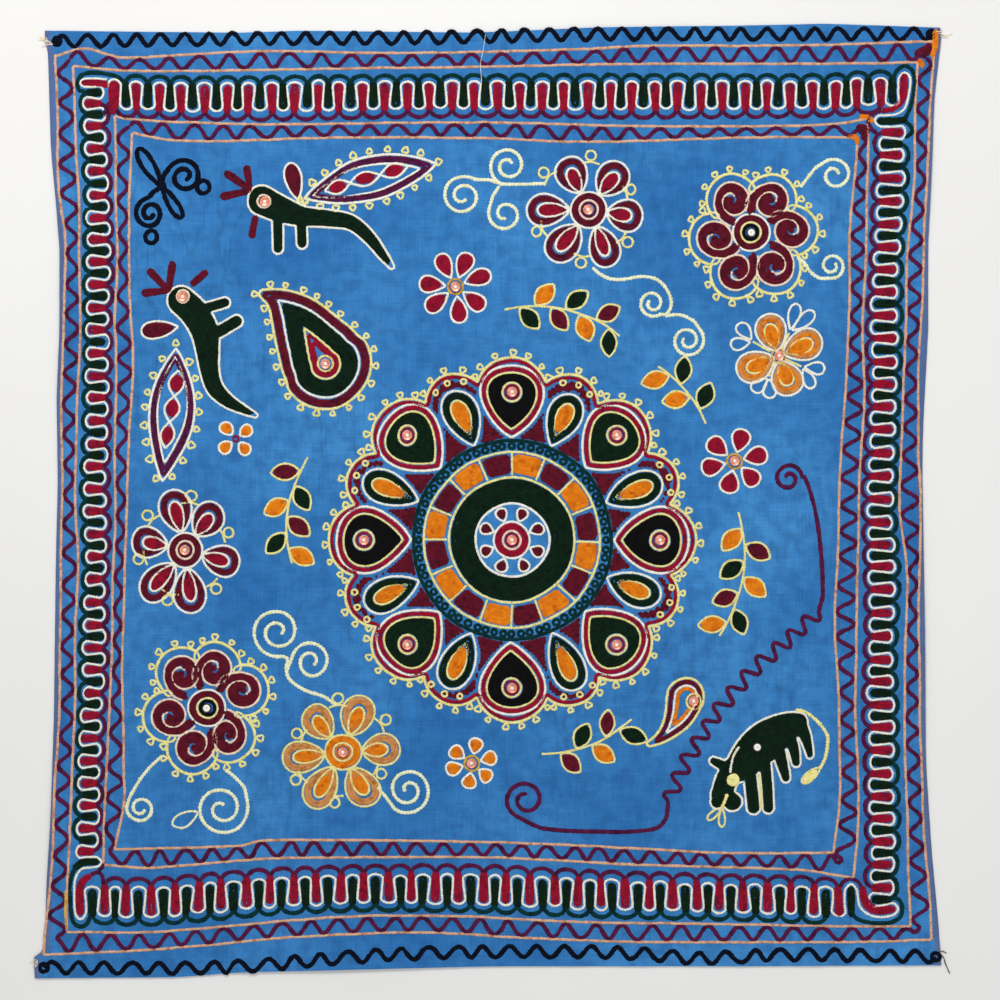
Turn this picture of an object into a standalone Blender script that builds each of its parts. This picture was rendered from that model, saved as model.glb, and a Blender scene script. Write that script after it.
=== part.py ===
"""An embroidered cotton wall hanging, lying flat: one hemmed cloth and the spangles sewn to it.

The cloth lies on the plane z = 0, its top edge towards +Y, with the origin under the middle of
its box. Sizes in the tables are millimetres, as a maker would measure them with a tape.
"""

import math

import bmesh
import bpy
import numpy as np
from mathutils import Vector
from mathutils.bvhtree import BVHTree

MM = 0.001

# Driving dimensions.
CLOTH_LENGTH = 954.0
CLOTH_THICKNESS = 1.5
HEM_DEPTH = 21.0
HEM_STEP = 7.0
HEM_EXTRA = 0.6
CELLS_ACROSS = 46
CELLS_ALONG = 42
FLAT_BELOW = 0.35
SPANGLE_DIAMETER = 10.0
SPANGLE_THICKNESS = 0.6
SPANGLE_SIDES = 12
SEWN_GAP = 0.35

# The four edges, measured from the middle of the cloth.
LEFT_EDGE = (
    # along, across
    (-477, -452.5),
    (-456, -453.5),
    (-449, -443.0),
    (-379, -440.5),
    (-319, -436.5),
    (-219, -433.5),
    (-59, -431.5),
    (21, -429.5),
    (101, -430.5),
    (171, -427.5),
    (251, -427.5),
    (301, -431.5),
    (351, -436.5),
    (451, -439.5),
    (463, -443.5),
    (470, -442.5),
)
RIGHT_EDGE = (
    # along, across
    (-464, 453.5),
    (-419, 450.5),
    (-350, 444.0),
    (-259, 438.0),
    (-139, 437.0),
    (31, 434.5),
    (78, 435.5),
    (171, 440.5),
    (261, 440.5),
    (301, 442.5),
    (401, 446.5),
    (463, 453.5),
    (473, 452.5),
)
BOTTOM_EDGE = (
    # across, along
    (-452.5, -477),
    (-309.5, -476),
    (-247.5, -471),
    (-87.5, -467),
    (12.5, -465),
    (272.5, -465),
    (453.5, -464),
)
TOP_EDGE = (
    # across, along
    (-442.5, 470),
    (-247.5, 468),
    (-187.5, 470),
    (-7.5, 468),
    (112.5, 473),
    (252.5, 475),
    (339.5, 477),
    (452.5, 473),
)

# Soft waves where the cloth doesn't quite lie down.
WAVES = (
    # across, along, bearing in degrees, half length, half width, lift
    (-275, 55, 85, 80, 24, 3.4),
    (-218, -65, 78, 85, 25, 3.8),
    (-322, -125, 88, 65, 22, 2.8),
    (-190, -222, 62, 90, 24, 3.2),
    (-100, 268, 38, 80, 24, 3.2),
    (-18, 160, 48, 95, 26, 3.6),
    (98, 150, 72, 70, 23, 2.8),
    (318, -30, 6, 70, 23, 2.4),
    (14, -282, 18, 90, 24, 2.8),
    (-352, 15, 30, 55, 22, 2.4),
    (215, -300, 120, 70, 24, 2.6),
    (285, 215, 150, 75, 24, 2.4),
    (-432, 190, 90, 130, 22, 3.2),
    (-436, -320, 90, 80, 22, 2.6),
    (440, -120, 90, 150, 22, 3.2),
    (446, 330, 96, 80, 22, 2.8),
    (110, 474, 2, 130, 22, 2.8),
    (-150, -470, 2, 110, 22, 2.6),
)

# Spangles at the hearts of flowers and at the eyes and shoulders of the animals.
FIELD_SPANGLES = (
    # name, across, along
    ("bird_eye_upper", -222.5, 299.0),
    ("bird_eye_lower", -304.5, 204.0),
    ("flower_top", 100.5, 291.0),
    ("flower_left", -302.5, -49.0),
    ("flower_bottom", -144.5, -251.0),
    ("flower_right", 291.5, 145.0),
    ("rosette_top", 263.5, 268.0),
    ("rosette_bottom", -280.5, -207.0),
    ("calf_shoulder", 269.5, -246.0),
    ("buta_upper", -162.0, 137.0),
    ("buta_lower", 206.0, -200.0),
    ("sprig_top", -32.0, 214.0),
    ("sprig_right", 247.0, 40.0),
    ("sprig_bottom", -16.0, -262.0),
)
MEDALLION_CENTRE = (24.5, -39.0)
MEDALLION_SPANGLES = 8
MEDALLION_RING = 148.0


def cloth_material(name, colour, roughness, metallic=0.0):
    """A plain Principled material."""
    material = bpy.data.materials.new(name)
    material.use_nodes = True
    shader = material.node_tree.nodes["Principled BSDF"]
    shader.inputs["Base Color"].default_value = (*colour, 1.0)
    shader.inputs["Roughness"].default_value = roughness
    shader.inputs["Metallic"].default_value = metallic
    material.diffuse_color = (*colour, 1.0)
    return material


def along_edge(rows, at):
    """The edge's value at a measure, read from a table on straight lines."""
    places, values = zip(*rows)
    return float(np.interp(at, places, values))


def edge_point(rows, share, upright):
    """The point at a share of the way from an edge's first row to its last."""
    first, last = rows[0][0], rows[-1][0]
    at = first + (last - first) * share
    value = along_edge(rows, at)
    return np.array((value, at) if upright else (at, value))


def cloth_point(u, v):
    """A point of the cloth in plan: u runs from the left edge to the right, v from bottom to top."""
    bottom, top = (edge_point(rows, u, False) for rows in (BOTTOM_EDGE, TOP_EDGE))
    left, right = (edge_point(rows, v, True) for rows in (LEFT_EDGE, RIGHT_EDGE))
    corners = (
        (1 - u) * (1 - v) * edge_point(BOTTOM_EDGE, 0, False)
        + u * (1 - v) * edge_point(BOTTOM_EDGE, 1, False)
        + (1 - u) * v * edge_point(TOP_EDGE, 0, False)
        + u * v * edge_point(TOP_EDGE, 1, False)
    )
    return (1 - v) * bottom + v * top + (1 - u) * left + u * right - corners


def lift(x, y):
    """How far the underside of the cloth stands off the surface at a place."""
    total = 0.0
    for across, along, bearing, half_length, half_width, height in WAVES:
        turn = math.radians(bearing)
        dx, dy = x - across, y - along
        run = (dx * math.cos(turn) + dy * math.sin(turn)) / half_length
        side = (dy * math.cos(turn) - dx * math.sin(turn)) / half_width
        total += height * math.exp(-run * run - side * side)
    return max(0.0, total - FLAT_BELOW)


def rows_along():
    """Shares of the length at which the grid has a row: close at the hems, even between them."""
    hem = [0.0, HEM_DEPTH / 2, HEM_DEPTH]
    inner = np.linspace(HEM_DEPTH + HEM_STEP, CLOTH_LENGTH - HEM_DEPTH - HEM_STEP, CELLS_ALONG + 1)
    return [m / CLOTH_LENGTH for m in (*hem, *inner, *(CLOTH_LENGTH - m for m in reversed(hem)))]


def thickness(v):
    """The hems at the bottom and the top are turned under, so they are thicker."""
    from_edge = min(v, 1 - v) * CLOTH_LENGTH
    return CLOTH_THICKNESS + (HEM_EXTRA if from_edge < HEM_DEPTH + 0.5 else 0.0)


def grid_points():
    """Plan points of the grid, shifted so that their box is centred on the origin."""
    across = np.linspace(0.0, 1.0, CELLS_ACROSS + 1)
    plan = np.array([[cloth_point(u, v) for u in across] for v in rows_along()])
    low, high = plan.min(axis=(0, 1)), plan.max(axis=(0, 1))
    return plan - (low + high) / 2, (low + high) / 2


def cloth():
    """The cloth as one closed solid: a top and an underside sheet joined round the rim."""
    plan, _ = grid_points()
    shares = rows_along()
    mesh = bmesh.new()
    under, top = [], []
    for row, v in zip(plan, shares):
        lifts = [lift(x, y) for x, y in row]
        under.append([mesh.verts.new((x * MM, y * MM, z * MM)) for (x, y), z in zip(row, lifts)])
        upper = [z + thickness(v) for z in lifts]
        top.append([mesh.verts.new((x * MM, y * MM, z * MM)) for (x, y), z in zip(row, upper)])
    for j in range(len(shares) - 1):
        for i in range(CELLS_ACROSS):
            for sheet in (top, under):
                a, b = sheet[j][i], sheet[j][i + 1]
                c, d = sheet[j + 1][i + 1], sheet[j + 1][i]
                mesh.faces.new((a, b, c))
                mesh.faces.new((a, c, d))
    rim_places = (
        [(0, i) for i in range(CELLS_ACROSS)]
        + [(j, CELLS_ACROSS) for j in range(len(shares) - 1)]
        + [(len(shares) - 1, i) for i in range(CELLS_ACROSS, 0, -1)]
        + [(j, 0) for j in range(len(shares) - 1, 0, -1)]
    )
    for (j, i), (k, m) in zip(rim_places, rim_places[1:] + rim_places[:1]):
        mesh.faces.new((under[j][i], under[k][m], top[k][m], top[j][i]))
    bmesh.ops.recalc_face_normals(mesh, faces=mesh.faces)
    data = bpy.data.meshes.new("cloth")
    mesh.to_mesh(data)
    mesh.free()
    data.materials.append(cloth_material("blue_cotton", (0.045, 0.235, 0.58), 0.85))
    obj = bpy.data.objects.new("cloth", data)
    bpy.context.scene.collection.objects.link(obj)
    return obj


def spangle_mesh():
    """One flat round spangle, its middle at the origin, lying on z = 0."""
    mesh = bmesh.new()
    bmesh.ops.create_cone(
        mesh,
        cap_ends=True,
        segments=SPANGLE_SIDES,
        radius1=SPANGLE_DIAMETER / 2 * MM,
        radius2=SPANGLE_DIAMETER / 2 * MM,
        depth=SPANGLE_THICKNESS * MM,
    )
    bmesh.ops.translate(mesh, verts=mesh.verts, vec=(0, 0, SPANGLE_THICKNESS / 2 * MM))
    data = bpy.data.meshes.new("spangle")
    mesh.to_mesh(data)
    mesh.free()
    data.materials.append(cloth_material("gilt_spangle", (0.80, 0.42, 0.30), 0.25, 0.6))
    return data


def slope(x, y):
    """The upward normal of the cloth at a place."""
    step = 4.0
    rise_x = (lift(x + step, y) - lift(x - step, y)) / (2 * step)
    rise_y = (lift(x, y + step) - lift(x, y - step)) / (2 * step)
    return Vector((-rise_x, -rise_y, 1.0)).normalized()


def seat_height(surface, x, y):
    """The height at which a spangle's underside clears the cloth's facets all round."""
    normal = slope(x, y)
    highest = -math.inf
    for share in (0.0, 0.5, 1.0):
        for k in range(SPANGLE_SIDES):
            turn = 2 * math.pi * k / SPANGLE_SIDES
            across = share * SPANGLE_DIAMETER / 2 * math.cos(turn)
            along = share * SPANGLE_DIAMETER / 2 * math.sin(turn)
            above = Vector(((x + across) * MM, (y + along) * MM, 1.0))
            hit = surface.ray_cast(above, Vector((0, 0, -1)))[0]
            tilt = (normal.x * across + normal.y * along) / normal.z
            highest = max(highest, hit.z / MM + tilt)
    return highest


def spangles(sewn_to):
    """Every spangle, each its own node, laid on the cloth's slope with a sewn gap under it."""
    surface = BVHTree.FromObject(sewn_to, bpy.context.evaluated_depsgraph_get())
    _, shift = grid_points()
    seats = [(name, across, along) for name, across, along in FIELD_SPANGLES]
    seats.append(("medallion_heart", *MEDALLION_CENTRE))
    for k in range(MEDALLION_SPANGLES):
        turn = 2 * math.pi * k / MEDALLION_SPANGLES
        across = MEDALLION_CENTRE[0] + MEDALLION_RING * math.cos(turn)
        along = MEDALLION_CENTRE[1] + MEDALLION_RING * math.sin(turn)
        seats.append((f"medallion_petal_{k + 1}", across, along))
    data = spangle_mesh()
    for name, across, along in seats:
        x, y = across - shift[0], along - shift[1]
        obj = bpy.data.objects.new(f"spangle_{name}", data)
        obj.rotation_mode = "QUATERNION"
        obj.rotation_quaternion = Vector((0, 0, 1)).rotation_difference(slope(x, y))
        height = seat_height(surface, x, y) + SEWN_GAP
        obj.location = (x * MM, y * MM, height * MM)
        bpy.context.scene.collection.objects.link(obj)


def build():
    for obj in list(bpy.data.objects):
        bpy.data.objects.remove(obj, do_unlink=True)
    spangles(cloth())


build()
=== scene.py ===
# %% [markdown]
# # An embroidered cotton wall hanging
# The real thing is a length of blue cotton, hemmed at two ends and worked all over in chain stitch:
# cream cotton for outlines, soft wool for fillings, and a round spangle at the heart of each
# flower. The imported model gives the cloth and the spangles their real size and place. Everything
# below is laid onto it, in millimetres from the middle of the cloth.

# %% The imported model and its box
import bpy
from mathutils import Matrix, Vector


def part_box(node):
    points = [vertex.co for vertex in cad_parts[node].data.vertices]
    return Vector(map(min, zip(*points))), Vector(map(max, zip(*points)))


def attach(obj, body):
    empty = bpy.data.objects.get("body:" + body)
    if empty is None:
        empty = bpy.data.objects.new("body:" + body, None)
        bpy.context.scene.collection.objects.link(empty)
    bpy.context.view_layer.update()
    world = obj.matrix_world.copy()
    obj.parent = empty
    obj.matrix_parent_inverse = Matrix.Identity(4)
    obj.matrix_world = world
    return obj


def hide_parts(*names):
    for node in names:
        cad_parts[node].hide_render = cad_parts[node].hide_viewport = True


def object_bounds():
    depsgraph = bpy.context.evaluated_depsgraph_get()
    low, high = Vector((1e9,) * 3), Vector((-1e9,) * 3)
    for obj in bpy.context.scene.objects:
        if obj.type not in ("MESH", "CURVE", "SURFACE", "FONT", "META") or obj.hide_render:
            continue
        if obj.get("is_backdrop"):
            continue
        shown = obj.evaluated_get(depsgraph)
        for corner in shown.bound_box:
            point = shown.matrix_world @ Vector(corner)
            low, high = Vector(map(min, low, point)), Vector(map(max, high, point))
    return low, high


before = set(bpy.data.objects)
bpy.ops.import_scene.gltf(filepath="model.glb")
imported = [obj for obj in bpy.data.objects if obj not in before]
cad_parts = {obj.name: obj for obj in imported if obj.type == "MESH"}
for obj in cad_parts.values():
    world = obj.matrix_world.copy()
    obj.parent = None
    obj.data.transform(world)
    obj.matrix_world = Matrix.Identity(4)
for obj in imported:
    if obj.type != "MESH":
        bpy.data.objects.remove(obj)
cad_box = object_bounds()
print("box of the packed model:", cad_box)

# %% What the steps below use
import math
from collections import defaultdict

import bmesh
import bpy
import numpy as np
from mathutils import Vector
from mathutils.bvhtree import BVHTree

MM = 0.001
chance = np.random.default_rng(7)  # one seeded source for every uneven thing a hand does


def stray(by, shape=None):
    """A chance difference, mostly smaller than this."""
    return chance.normal(0, by, shape)


# %% [markdown]
# ## How the cloth lies
# Cotton that was folded for years doesn't lie flat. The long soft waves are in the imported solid,
# so its two sides are felt with rays on a grid and read back by interpolation. A ray for every
# stitch would be slow, and a grid also lets the facets be smoothed away.

# %% Feeling both sides of the solid
GRID = 5.0
low, high = (np.array(corner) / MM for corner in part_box("cloth"))
grid_x = np.arange(low[0] - GRID, high[0] + 2 * GRID, GRID)
grid_y = np.arange(low[1] - GRID, high[1] + 2 * GRID, GRID)
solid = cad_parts["cloth"].data
solid_tree = BVHTree.FromPolygons(
    [v.co for v in solid.vertices], [tuple(p.vertices) for p in solid.polygons]
)


def felt(start):
    """Heights of the side that rays from this height meet first, in millimetres."""
    down = Vector((0, 0, -1 if start > 0 else 1))
    heights = np.full((len(grid_y), len(grid_x)), np.nan)
    for j, i in np.ndindex(heights.shape):
        hit = solid_tree.ray_cast(Vector((grid_x[i] * MM, grid_y[j] * MM, start)), down)[0]
        if hit is not None:
            heights[j, i] = hit.z / MM
    return heights


# %% Carrying the heights past the rim and smoothing the facets
def neighbours(grid):
    """The grid shifted one step each way, edges repeated."""
    wide = np.pad(grid, 1, mode="edge")
    return np.stack([wide[:-2, 1:-1], wide[2:, 1:-1], wide[1:-1, :-2], wide[1:-1, 2:]])


def carried_out(grid):
    """Empty places take the mean of their filled neighbours until none is left."""
    while np.isnan(grid).any():
        around = neighbours(grid)
        count = (~np.isnan(around)).sum(axis=0)
        mean = np.nansum(around, axis=0) / np.maximum(count, 1)
        grid = np.where(np.isnan(grid) & (count > 0), mean, grid)
    return grid


def smoothed(grid):
    for _ in range(2):
        grid = 0.5 * grid + 0.5 * neighbours(grid).mean(axis=0)
    return grid


top_side = smoothed(carried_out(felt(1.0)))
under_side = smoothed(carried_out(felt(-1.0)))
print("felt", top_side.size, "places, waves up to", round(float(top_side.max()), 2), "mm")


# %% Reading a grid between its points
def read(grid, places):
    """The grid's value at plan places, an array of (across, along) in millimetres."""
    u = np.clip((places[:, 0] - grid_x[0]) / GRID, 0, len(grid_x) - 1.001)
    v = np.clip((places[:, 1] - grid_y[0]) / GRID, 0, len(grid_y) - 1.001)
    i, j = u.astype(int), v.astype(int)
    s, t = u - i, v - j
    lower = grid[j, i] * (1 - s) + grid[j, i + 1] * s
    upper = grid[j + 1, i] * (1 - s) + grid[j + 1, i + 1] * s
    return lower * (1 - t) + upper * t


# %% [markdown]
# ## Creases and puckers
# On the long waves lie sharper creases, where the cloth was folded, and small puckers, where the
# stitching draws it in. Each crease is a soft ridge with its own place and bearing. The puckers
# are a sum of a few low ripples, because hand work has no single wavelength.

# %% The creases
CREASES = (
    # across, along, bearing in degrees, half length, half width, height
    (-274, 58, 96, 52, 4.5, 1), (-262, 30, 84, 40, 3.5, 0.7),
    (-286, 84, 100, 34, 3.5, 0.6), (-217, -59, 103, 46, 4.5, 1),
    (-206, -82, 96, 34, 3.5, 0.7), (-322, -122, 90, 30, 4, 0.9),
    (-194, -219, 120, 40, 4.5, 0.9), (-182, -236, 112, 30, 3.5, 0.6),
    (-101, 275, 38, 40, 4.5, 1), (-120, 250, 30, 46, 4, 0.8),
    (-84, 296, 44, 28, 3.5, 0.6), (-17, 158, 48, 48, 4.5, 0.9),
    (92, 150, 72, 30, 4, 0.8), (319, -32, 6, 34, 4, 0.8),
    (322, -62, 12, 26, 3.5, 0.6), (300, 12, -4, 26, 3.5, 0.5),
    (12, -284, 18, 40, 4, 0.8), (-60, -300, 8, 34, 3.5, 0.6),
    (-354, 14, 30, 24, 4, 0.8), (-346, 150, 80, 44, 4, 0.7),
    (212, -306, 122, 30, 4, 0.7), (190, 300, 80, 34, 4, 0.6),
    (336, 250, 60, 34, 4, 0.6), (20, 330, 10, 60, 4, 0.6),
    (-20, -456, 3, 60, 4, 0.7), (300, -456, -4, 44, 4, 0.6),
    (170, 466, 5, 60, 3.5, 0.6),
)


def crease_height(places):
    total = np.zeros(len(places))
    for across, along, bearing, half_length, half_width, height in CREASES:
        turn = math.radians(bearing)
        away = places - (across, along)
        run = (away @ (math.cos(turn), math.sin(turn))) / half_length
        bow = 0.06 * half_length * np.cos(run * 2.2)
        side = (away @ (-math.sin(turn), math.cos(turn)) - bow) / half_width
        total += height * np.exp(-(run**2) - side**2)
    return total


# %% The puckers
PUCKER_HEIGHT = 0.22
PUCKER_LENGTHS = (15, 19, 26, 33, 41, 58)  # crest to crest, in millimetres
ripples = [
    (2 * math.pi / length * np.array((math.cos(a), math.sin(a))), p)
    for length in PUCKER_LENGTHS
    for a, p in chance.uniform(0, 2 * math.pi, (2, 2))
]


def pucker_height(places):
    total = sum(np.sin(places @ wave + phase) for wave, phase in ripples)
    return PUCKER_HEIGHT * np.clip(1 + total / 3, 0, None)


# %% The height that everything is laid on
SEWN_ROOM = 0.95  # the stitches stand this much proud of the cloth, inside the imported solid
WOVEN_THICKNESS = 0.55


def lie(places):
    """Height of the top of the cloth at plan places, in millimetres."""
    places = np.asarray(places, float)
    return read(top_side, places) - SEWN_ROOM + crease_height(places) + pucker_height(places)


print("the cloth's top at its middle:", round(float(lie([(0, 0)])[0]), 2), "mm")

# %% [markdown]
# ## The outline of the cloth
# The edges were cut by hand and pulled by the stitching, so no side is straight. The rim of the
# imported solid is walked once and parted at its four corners, and a patch is blended between the
# sides. A plain grid would have to be trimmed, which leaves slivers.

# %% Walking the rim
def walks(pairs):
    """Chains of keys, from pairs of keys that are neighbours."""
    beside = defaultdict(list)
    for a, b in pairs:
        beside[a].append(b)
        beside[b].append(a)
    while beside:
        walk = [next(iter(beside))]
        while onward := [k for k in beside.pop(walk[-1]) if k in beside]:
            walk.append(onward[0])
        yield walk


def plan_key(co):
    return round(co.x / MM, 2), round(co.y / MM, 2)


def rim_of(mesh):
    """The rim in plan, in order: the edges that only one upward face uses."""
    used = defaultdict(int)
    for face in mesh.polygons:
        if face.normal.z > 0.5:
            corners = [plan_key(mesh.vertices[k].co) for k in face.vertices]
            for a, b in zip(corners, corners[1:] + corners[:1]):
                used[frozenset((a, b))] += 1
    once = (edge for edge, count in used.items() if count == 1 and len(edge) == 2)
    return np.array(next(walks(once)))


rim = rim_of(solid)
print("rim of", len(rim), "points")


# %% The four sides and the patch between them
def side_of(first, last):
    """The shorter way round the rim from one corner to another."""
    a = int(np.argmax(rim @ first))
    b = int(np.argmax(rim @ last))
    one = np.roll(rim, -a, axis=0)[: (b - a) % len(rim) + 1]
    other = np.roll(rim[::-1], a + 1, axis=0)[: (a - b) % len(rim) + 1]
    return one if len(one) < len(other) else other


left_side, right_side = side_of((-1, -1), (-1, 1)), side_of((1, -1), (1, 1))
bottom_side, top_edge = side_of((-1, -1), (1, -1)), side_of((-1, 1), (1, 1))


def level_at(path, along, axis):
    """Where a path that runs along one axis lies on the other."""
    order = np.argsort(path[:, axis])
    return np.interp(along, path[order, axis], path[order, 1 - axis])


def on_side(side, share, axis):
    """The point at a share of the way along a side, measured on one axis."""
    at = side[0, axis] + (side[-1, axis] - side[0, axis]) * share
    value = level_at(side, at, axis)
    return np.stack([value, at] if axis else [at, value], axis=-1)


def cloth_place(u, v):
    """Plan places of the cloth: u from the left edge to the right, v from bottom to top."""
    b, t = on_side(bottom_side, u, 0), on_side(top_edge, u, 0)
    l, r = on_side(left_side, v, 1), on_side(right_side, v, 1)
    u, v = u[:, None], v[:, None]
    corners = (1 - u) * (1 - v) * bottom_side[0] + u * (1 - v) * bottom_side[-1]
    corners = corners + (1 - u) * v * top_edge[0] + u * v * top_edge[-1]
    return (1 - v) * b + v * t + (1 - u) * l + u * r - corners


# %% [markdown]
# ## The cloth itself
# One closed sheet: a fine grid on top, which carries the creases, and a coarser one beneath,
# which gives the edge its thickness. A Solidify modifier would double every face of the fine grid.

# %% Points of the two sides
CELLS_ACROSS, CELLS_ALONG = 212, 222


def sheet_places(step):
    u = np.linspace(0, 1, CELLS_ACROSS // step + 1)
    v = np.linspace(0, 1, CELLS_ALONG // step + 1)
    across, along = np.meshgrid(u, v)
    return cloth_place(across.ravel(), along.ravel()), across.ravel()


top_places, top_share = sheet_places(1)
low_places, low_share = sheet_places(2)
top_points = np.column_stack([top_places, lie(top_places)]) * MM
resting = np.minimum(read(under_side, low_places), lie(low_places) - WOVEN_THICKNESS)
low_points = np.column_stack([low_places, np.maximum(resting, 0.0)]) * MM


# %% Faces of the two sides and of the rim between them
def grid_faces(across, along, first, flip):
    j, i = np.mgrid[0:along, 0:across]
    a = (first + j * (across + 1) + i).ravel()
    ring = [a, a + 1, a + across + 2, a + across + 1]
    return np.column_stack(ring[::-1] if flip else ring).tolist()


def rim_walk(across, along, first):
    """Indices of a grid's outer points, anticlockwise from the bottom left and back to it."""
    index = np.arange((along + 1) * (across + 1)).reshape(along + 1, across + 1) + first
    sides = index[0, :-1], index[:-1, -1], index[-1, :0:-1], index[:0:-1, 0], index[0, :1]
    return np.concatenate(sides).tolist()


def sheet_faces():
    first_low = len(top_points)
    faces = grid_faces(CELLS_ACROSS, CELLS_ALONG, 0, False)
    faces += grid_faces(CELLS_ACROSS // 2, CELLS_ALONG // 2, first_low, True)
    upper = rim_walk(CELLS_ACROSS, CELLS_ALONG, 0)
    lower = rim_walk(CELLS_ACROSS // 2, CELLS_ALONG // 2, first_low)
    for k in range(len(lower) - 1):
        a, b, c = upper[2 * k:2 * k + 3]
        faces += [(lower[k], b, a), (lower[k], lower[k + 1], b), (lower[k + 1], c, b)]
    return faces


# %% Making a mesh piece
def put(name, data):
    """A new object in the scene."""
    thing = bpy.data.objects.new(name, data)
    bpy.context.scene.collection.objects.link(thing)
    return thing


def add_map(data, name, places):
    """A map with one place for each point of the mesh."""
    corner = np.empty(len(data.loops), np.int32)
    data.loops.foreach_get("vertex_index", corner)
    data.uv_layers.new(name=name).uv.foreach_set("vector", places[corner].ravel())


def as_piece(name, points, faces, material, slot):
    """A new object of these points in metres, with the plan laid out as its map."""
    data = bpy.data.meshes.new(name)
    data.from_pydata(points.tolist(), [], faces)
    data.polygons.foreach_set("use_smooth", [True] * len(data.polygons))
    plan = points[:, :2] - points[:, :2].min(axis=0)
    add_map(data, "OFBake", plan / plan.max())
    data.materials.append(material)
    piece = put(name, data)
    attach(piece, "root")
    return piece


def gathered(meshes):
    """Meshes of points in millimetres and faces as one, in metres."""
    starts = np.cumsum([0] + [len(mesh[0]) for mesh in meshes])
    faces = [mesh[1] + first for mesh, first in zip(meshes, starts)]
    return np.vstack([mesh[0] for mesh in meshes]) * MM, np.vstack(faces).tolist()


def add_values(piece, name, values):
    """One number for each point of a piece, for its material to read."""
    layer = piece.data.attributes.new(name, "FLOAT", "POINT")
    layer.data.foreach_set("value", np.asarray(values, np.float32))


# %% [markdown]
# ## Building materials
# Each finish is a Principled shader with a few nodes that mix its colour and lift its surface.
# Small helpers keep the node trees readable: one makes and wires a node, and the others are the
# patterns that every textile here needs.

# %% Helpers for node trees
def colour_of(red, green, blue):
    """A colour picked on a screen, 0 to 255, as the linear values that shaders use."""
    share = np.array((red, green, blue)) / 255
    linear = np.where(share <= 0.04045, share / 12.92, ((share + 0.055) / 1.055) ** 2.4)
    return (*linear.tolist(), 1.0)


class Tree:
    """A material's nodes, with short ways to add and wire them."""

    def __init__(self, name, roughness, **shader_values):
        self.material = bpy.data.materials.new(name)
        self.material.use_nodes = True
        self.nodes = self.material.node_tree.nodes
        self.links = self.material.node_tree.links
        self.shader = self.nodes["Principled BSDF"]
        self.shader.inputs["Roughness"].default_value = roughness
        for socket, value in shader_values.items():
            self.shader.inputs[socket.replace("_", " ")].default_value = value

    def wire(self, value, socket):
        """A link from another node, or a value on the socket itself."""
        if isinstance(value, bpy.types.NodeSocket):
            self.links.new(value, socket)
        else:
            socket.default_value = value

    def add(self, kind, settings=None, **inputs):
        node = self.nodes.new(kind)
        for key, value in (settings or {}).items():
            setattr(node, key, value)
        for key, value in inputs.items():
            self.wire(value, node.inputs[key.replace("_", " ")])
        return node

    def place(self):
        return self.add("ShaderNodeTexCoord").outputs["Object"]

    def value_of(self, name):
        """What add_values wrote on the piece under this name."""
        return self.add("ShaderNodeAttribute", {"attribute_name": name}).outputs["Fac"]

    def noise(self, scale, detail=2.0, stretch=(1, 1, 1)):
        """A noise over the plan, squeezed along each axis whose stretch is above 1."""
        mapped = self.add("ShaderNodeMapping", Vector=self.place(), Scale=stretch).outputs[0]
        noise = self.add("ShaderNodeTexNoise", Vector=mapped, Scale=scale, Detail=detail)
        return noise.outputs["Fac"]

    def wave(self, place, direction="X", **inputs):
        settings = {"wave_type": "BANDS", "bands_direction": direction}
        return self.add("ShaderNodeTexWave", settings, Vector=place, **inputs).outputs["Fac"]

    def blend(self, share, one, other, kind="MIX"):
        node = self.add("ShaderNodeMix", {"data_type": "RGBA", "blend_type": kind})
        colours = [s for s in node.inputs if s.type == "RGBA"]
        for socket, value in zip([node.inputs["Factor"], *colours], (share, one, other)):
            self.wire(value, socket)
        return next(s for s in node.outputs if s.type == "RGBA")

    def sum_of(self, kind, one, other):
        """A Math node, named for the sum that it does."""
        node = self.add("ShaderNodeMath", {"operation": kind})
        for socket, value in zip(node.inputs, (one, other)):
            self.wire(value, socket)
        return node.outputs["Value"]

    def steps(self, value, *stops):
        """A ramp of grey: pairs of place and brightness."""
        node = self.add("ShaderNodeValToRGB", Fac=value)
        ramp = node.color_ramp
        while len(ramp.elements) < len(stops):
            ramp.elements.new(0.5)
        for element, (place, grey) in zip(ramp.elements, stops):
            element.position = place
            element.color = (grey, grey, grey, 1.0)
        return node.outputs["Color"]

    def bump(self, height, strength, distance, under=None):
        node = self.add("ShaderNodeBump", Height=height, Strength=strength, Distance=distance)
        if under is not None:
            self.links.new(under, node.inputs["Normal"])
        return node.outputs["Normal"]

    def finish(self, colour, normal=None):
        self.links.new(colour, self.shader.inputs["Base Color"])
        if normal is not None:
            self.links.new(normal, self.shader.inputs["Normal"])
        return self.material


# %% [markdown]
# ## The blue cotton
# Piece-dyed plain weave: the blue is cloudy where the dye took unevenly, and thick yarns show as
# faint streaks both ways. A greyer violet along the left and right edges is painted shade where the
# edge lifts and rolls, and thin dark lines in large patches are painted shade of small creases. A
# checker pattern would look printed, so the weave is two crossed waves for the relief, and the colour
# comes from noises of very different sizes.

# %% Cotton
BLUE, PALE_BLUE, DEEP_BLUE = colour_of(43, 112, 177), colour_of(66, 140, 203), colour_of(30, 86, 146)
# painted shade for the lifted left and right edges of the cloth
EDGE_SHADE_VIOLET = colour_of(92, 98, 132)
YARNS_PER_METRE = 1500


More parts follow.
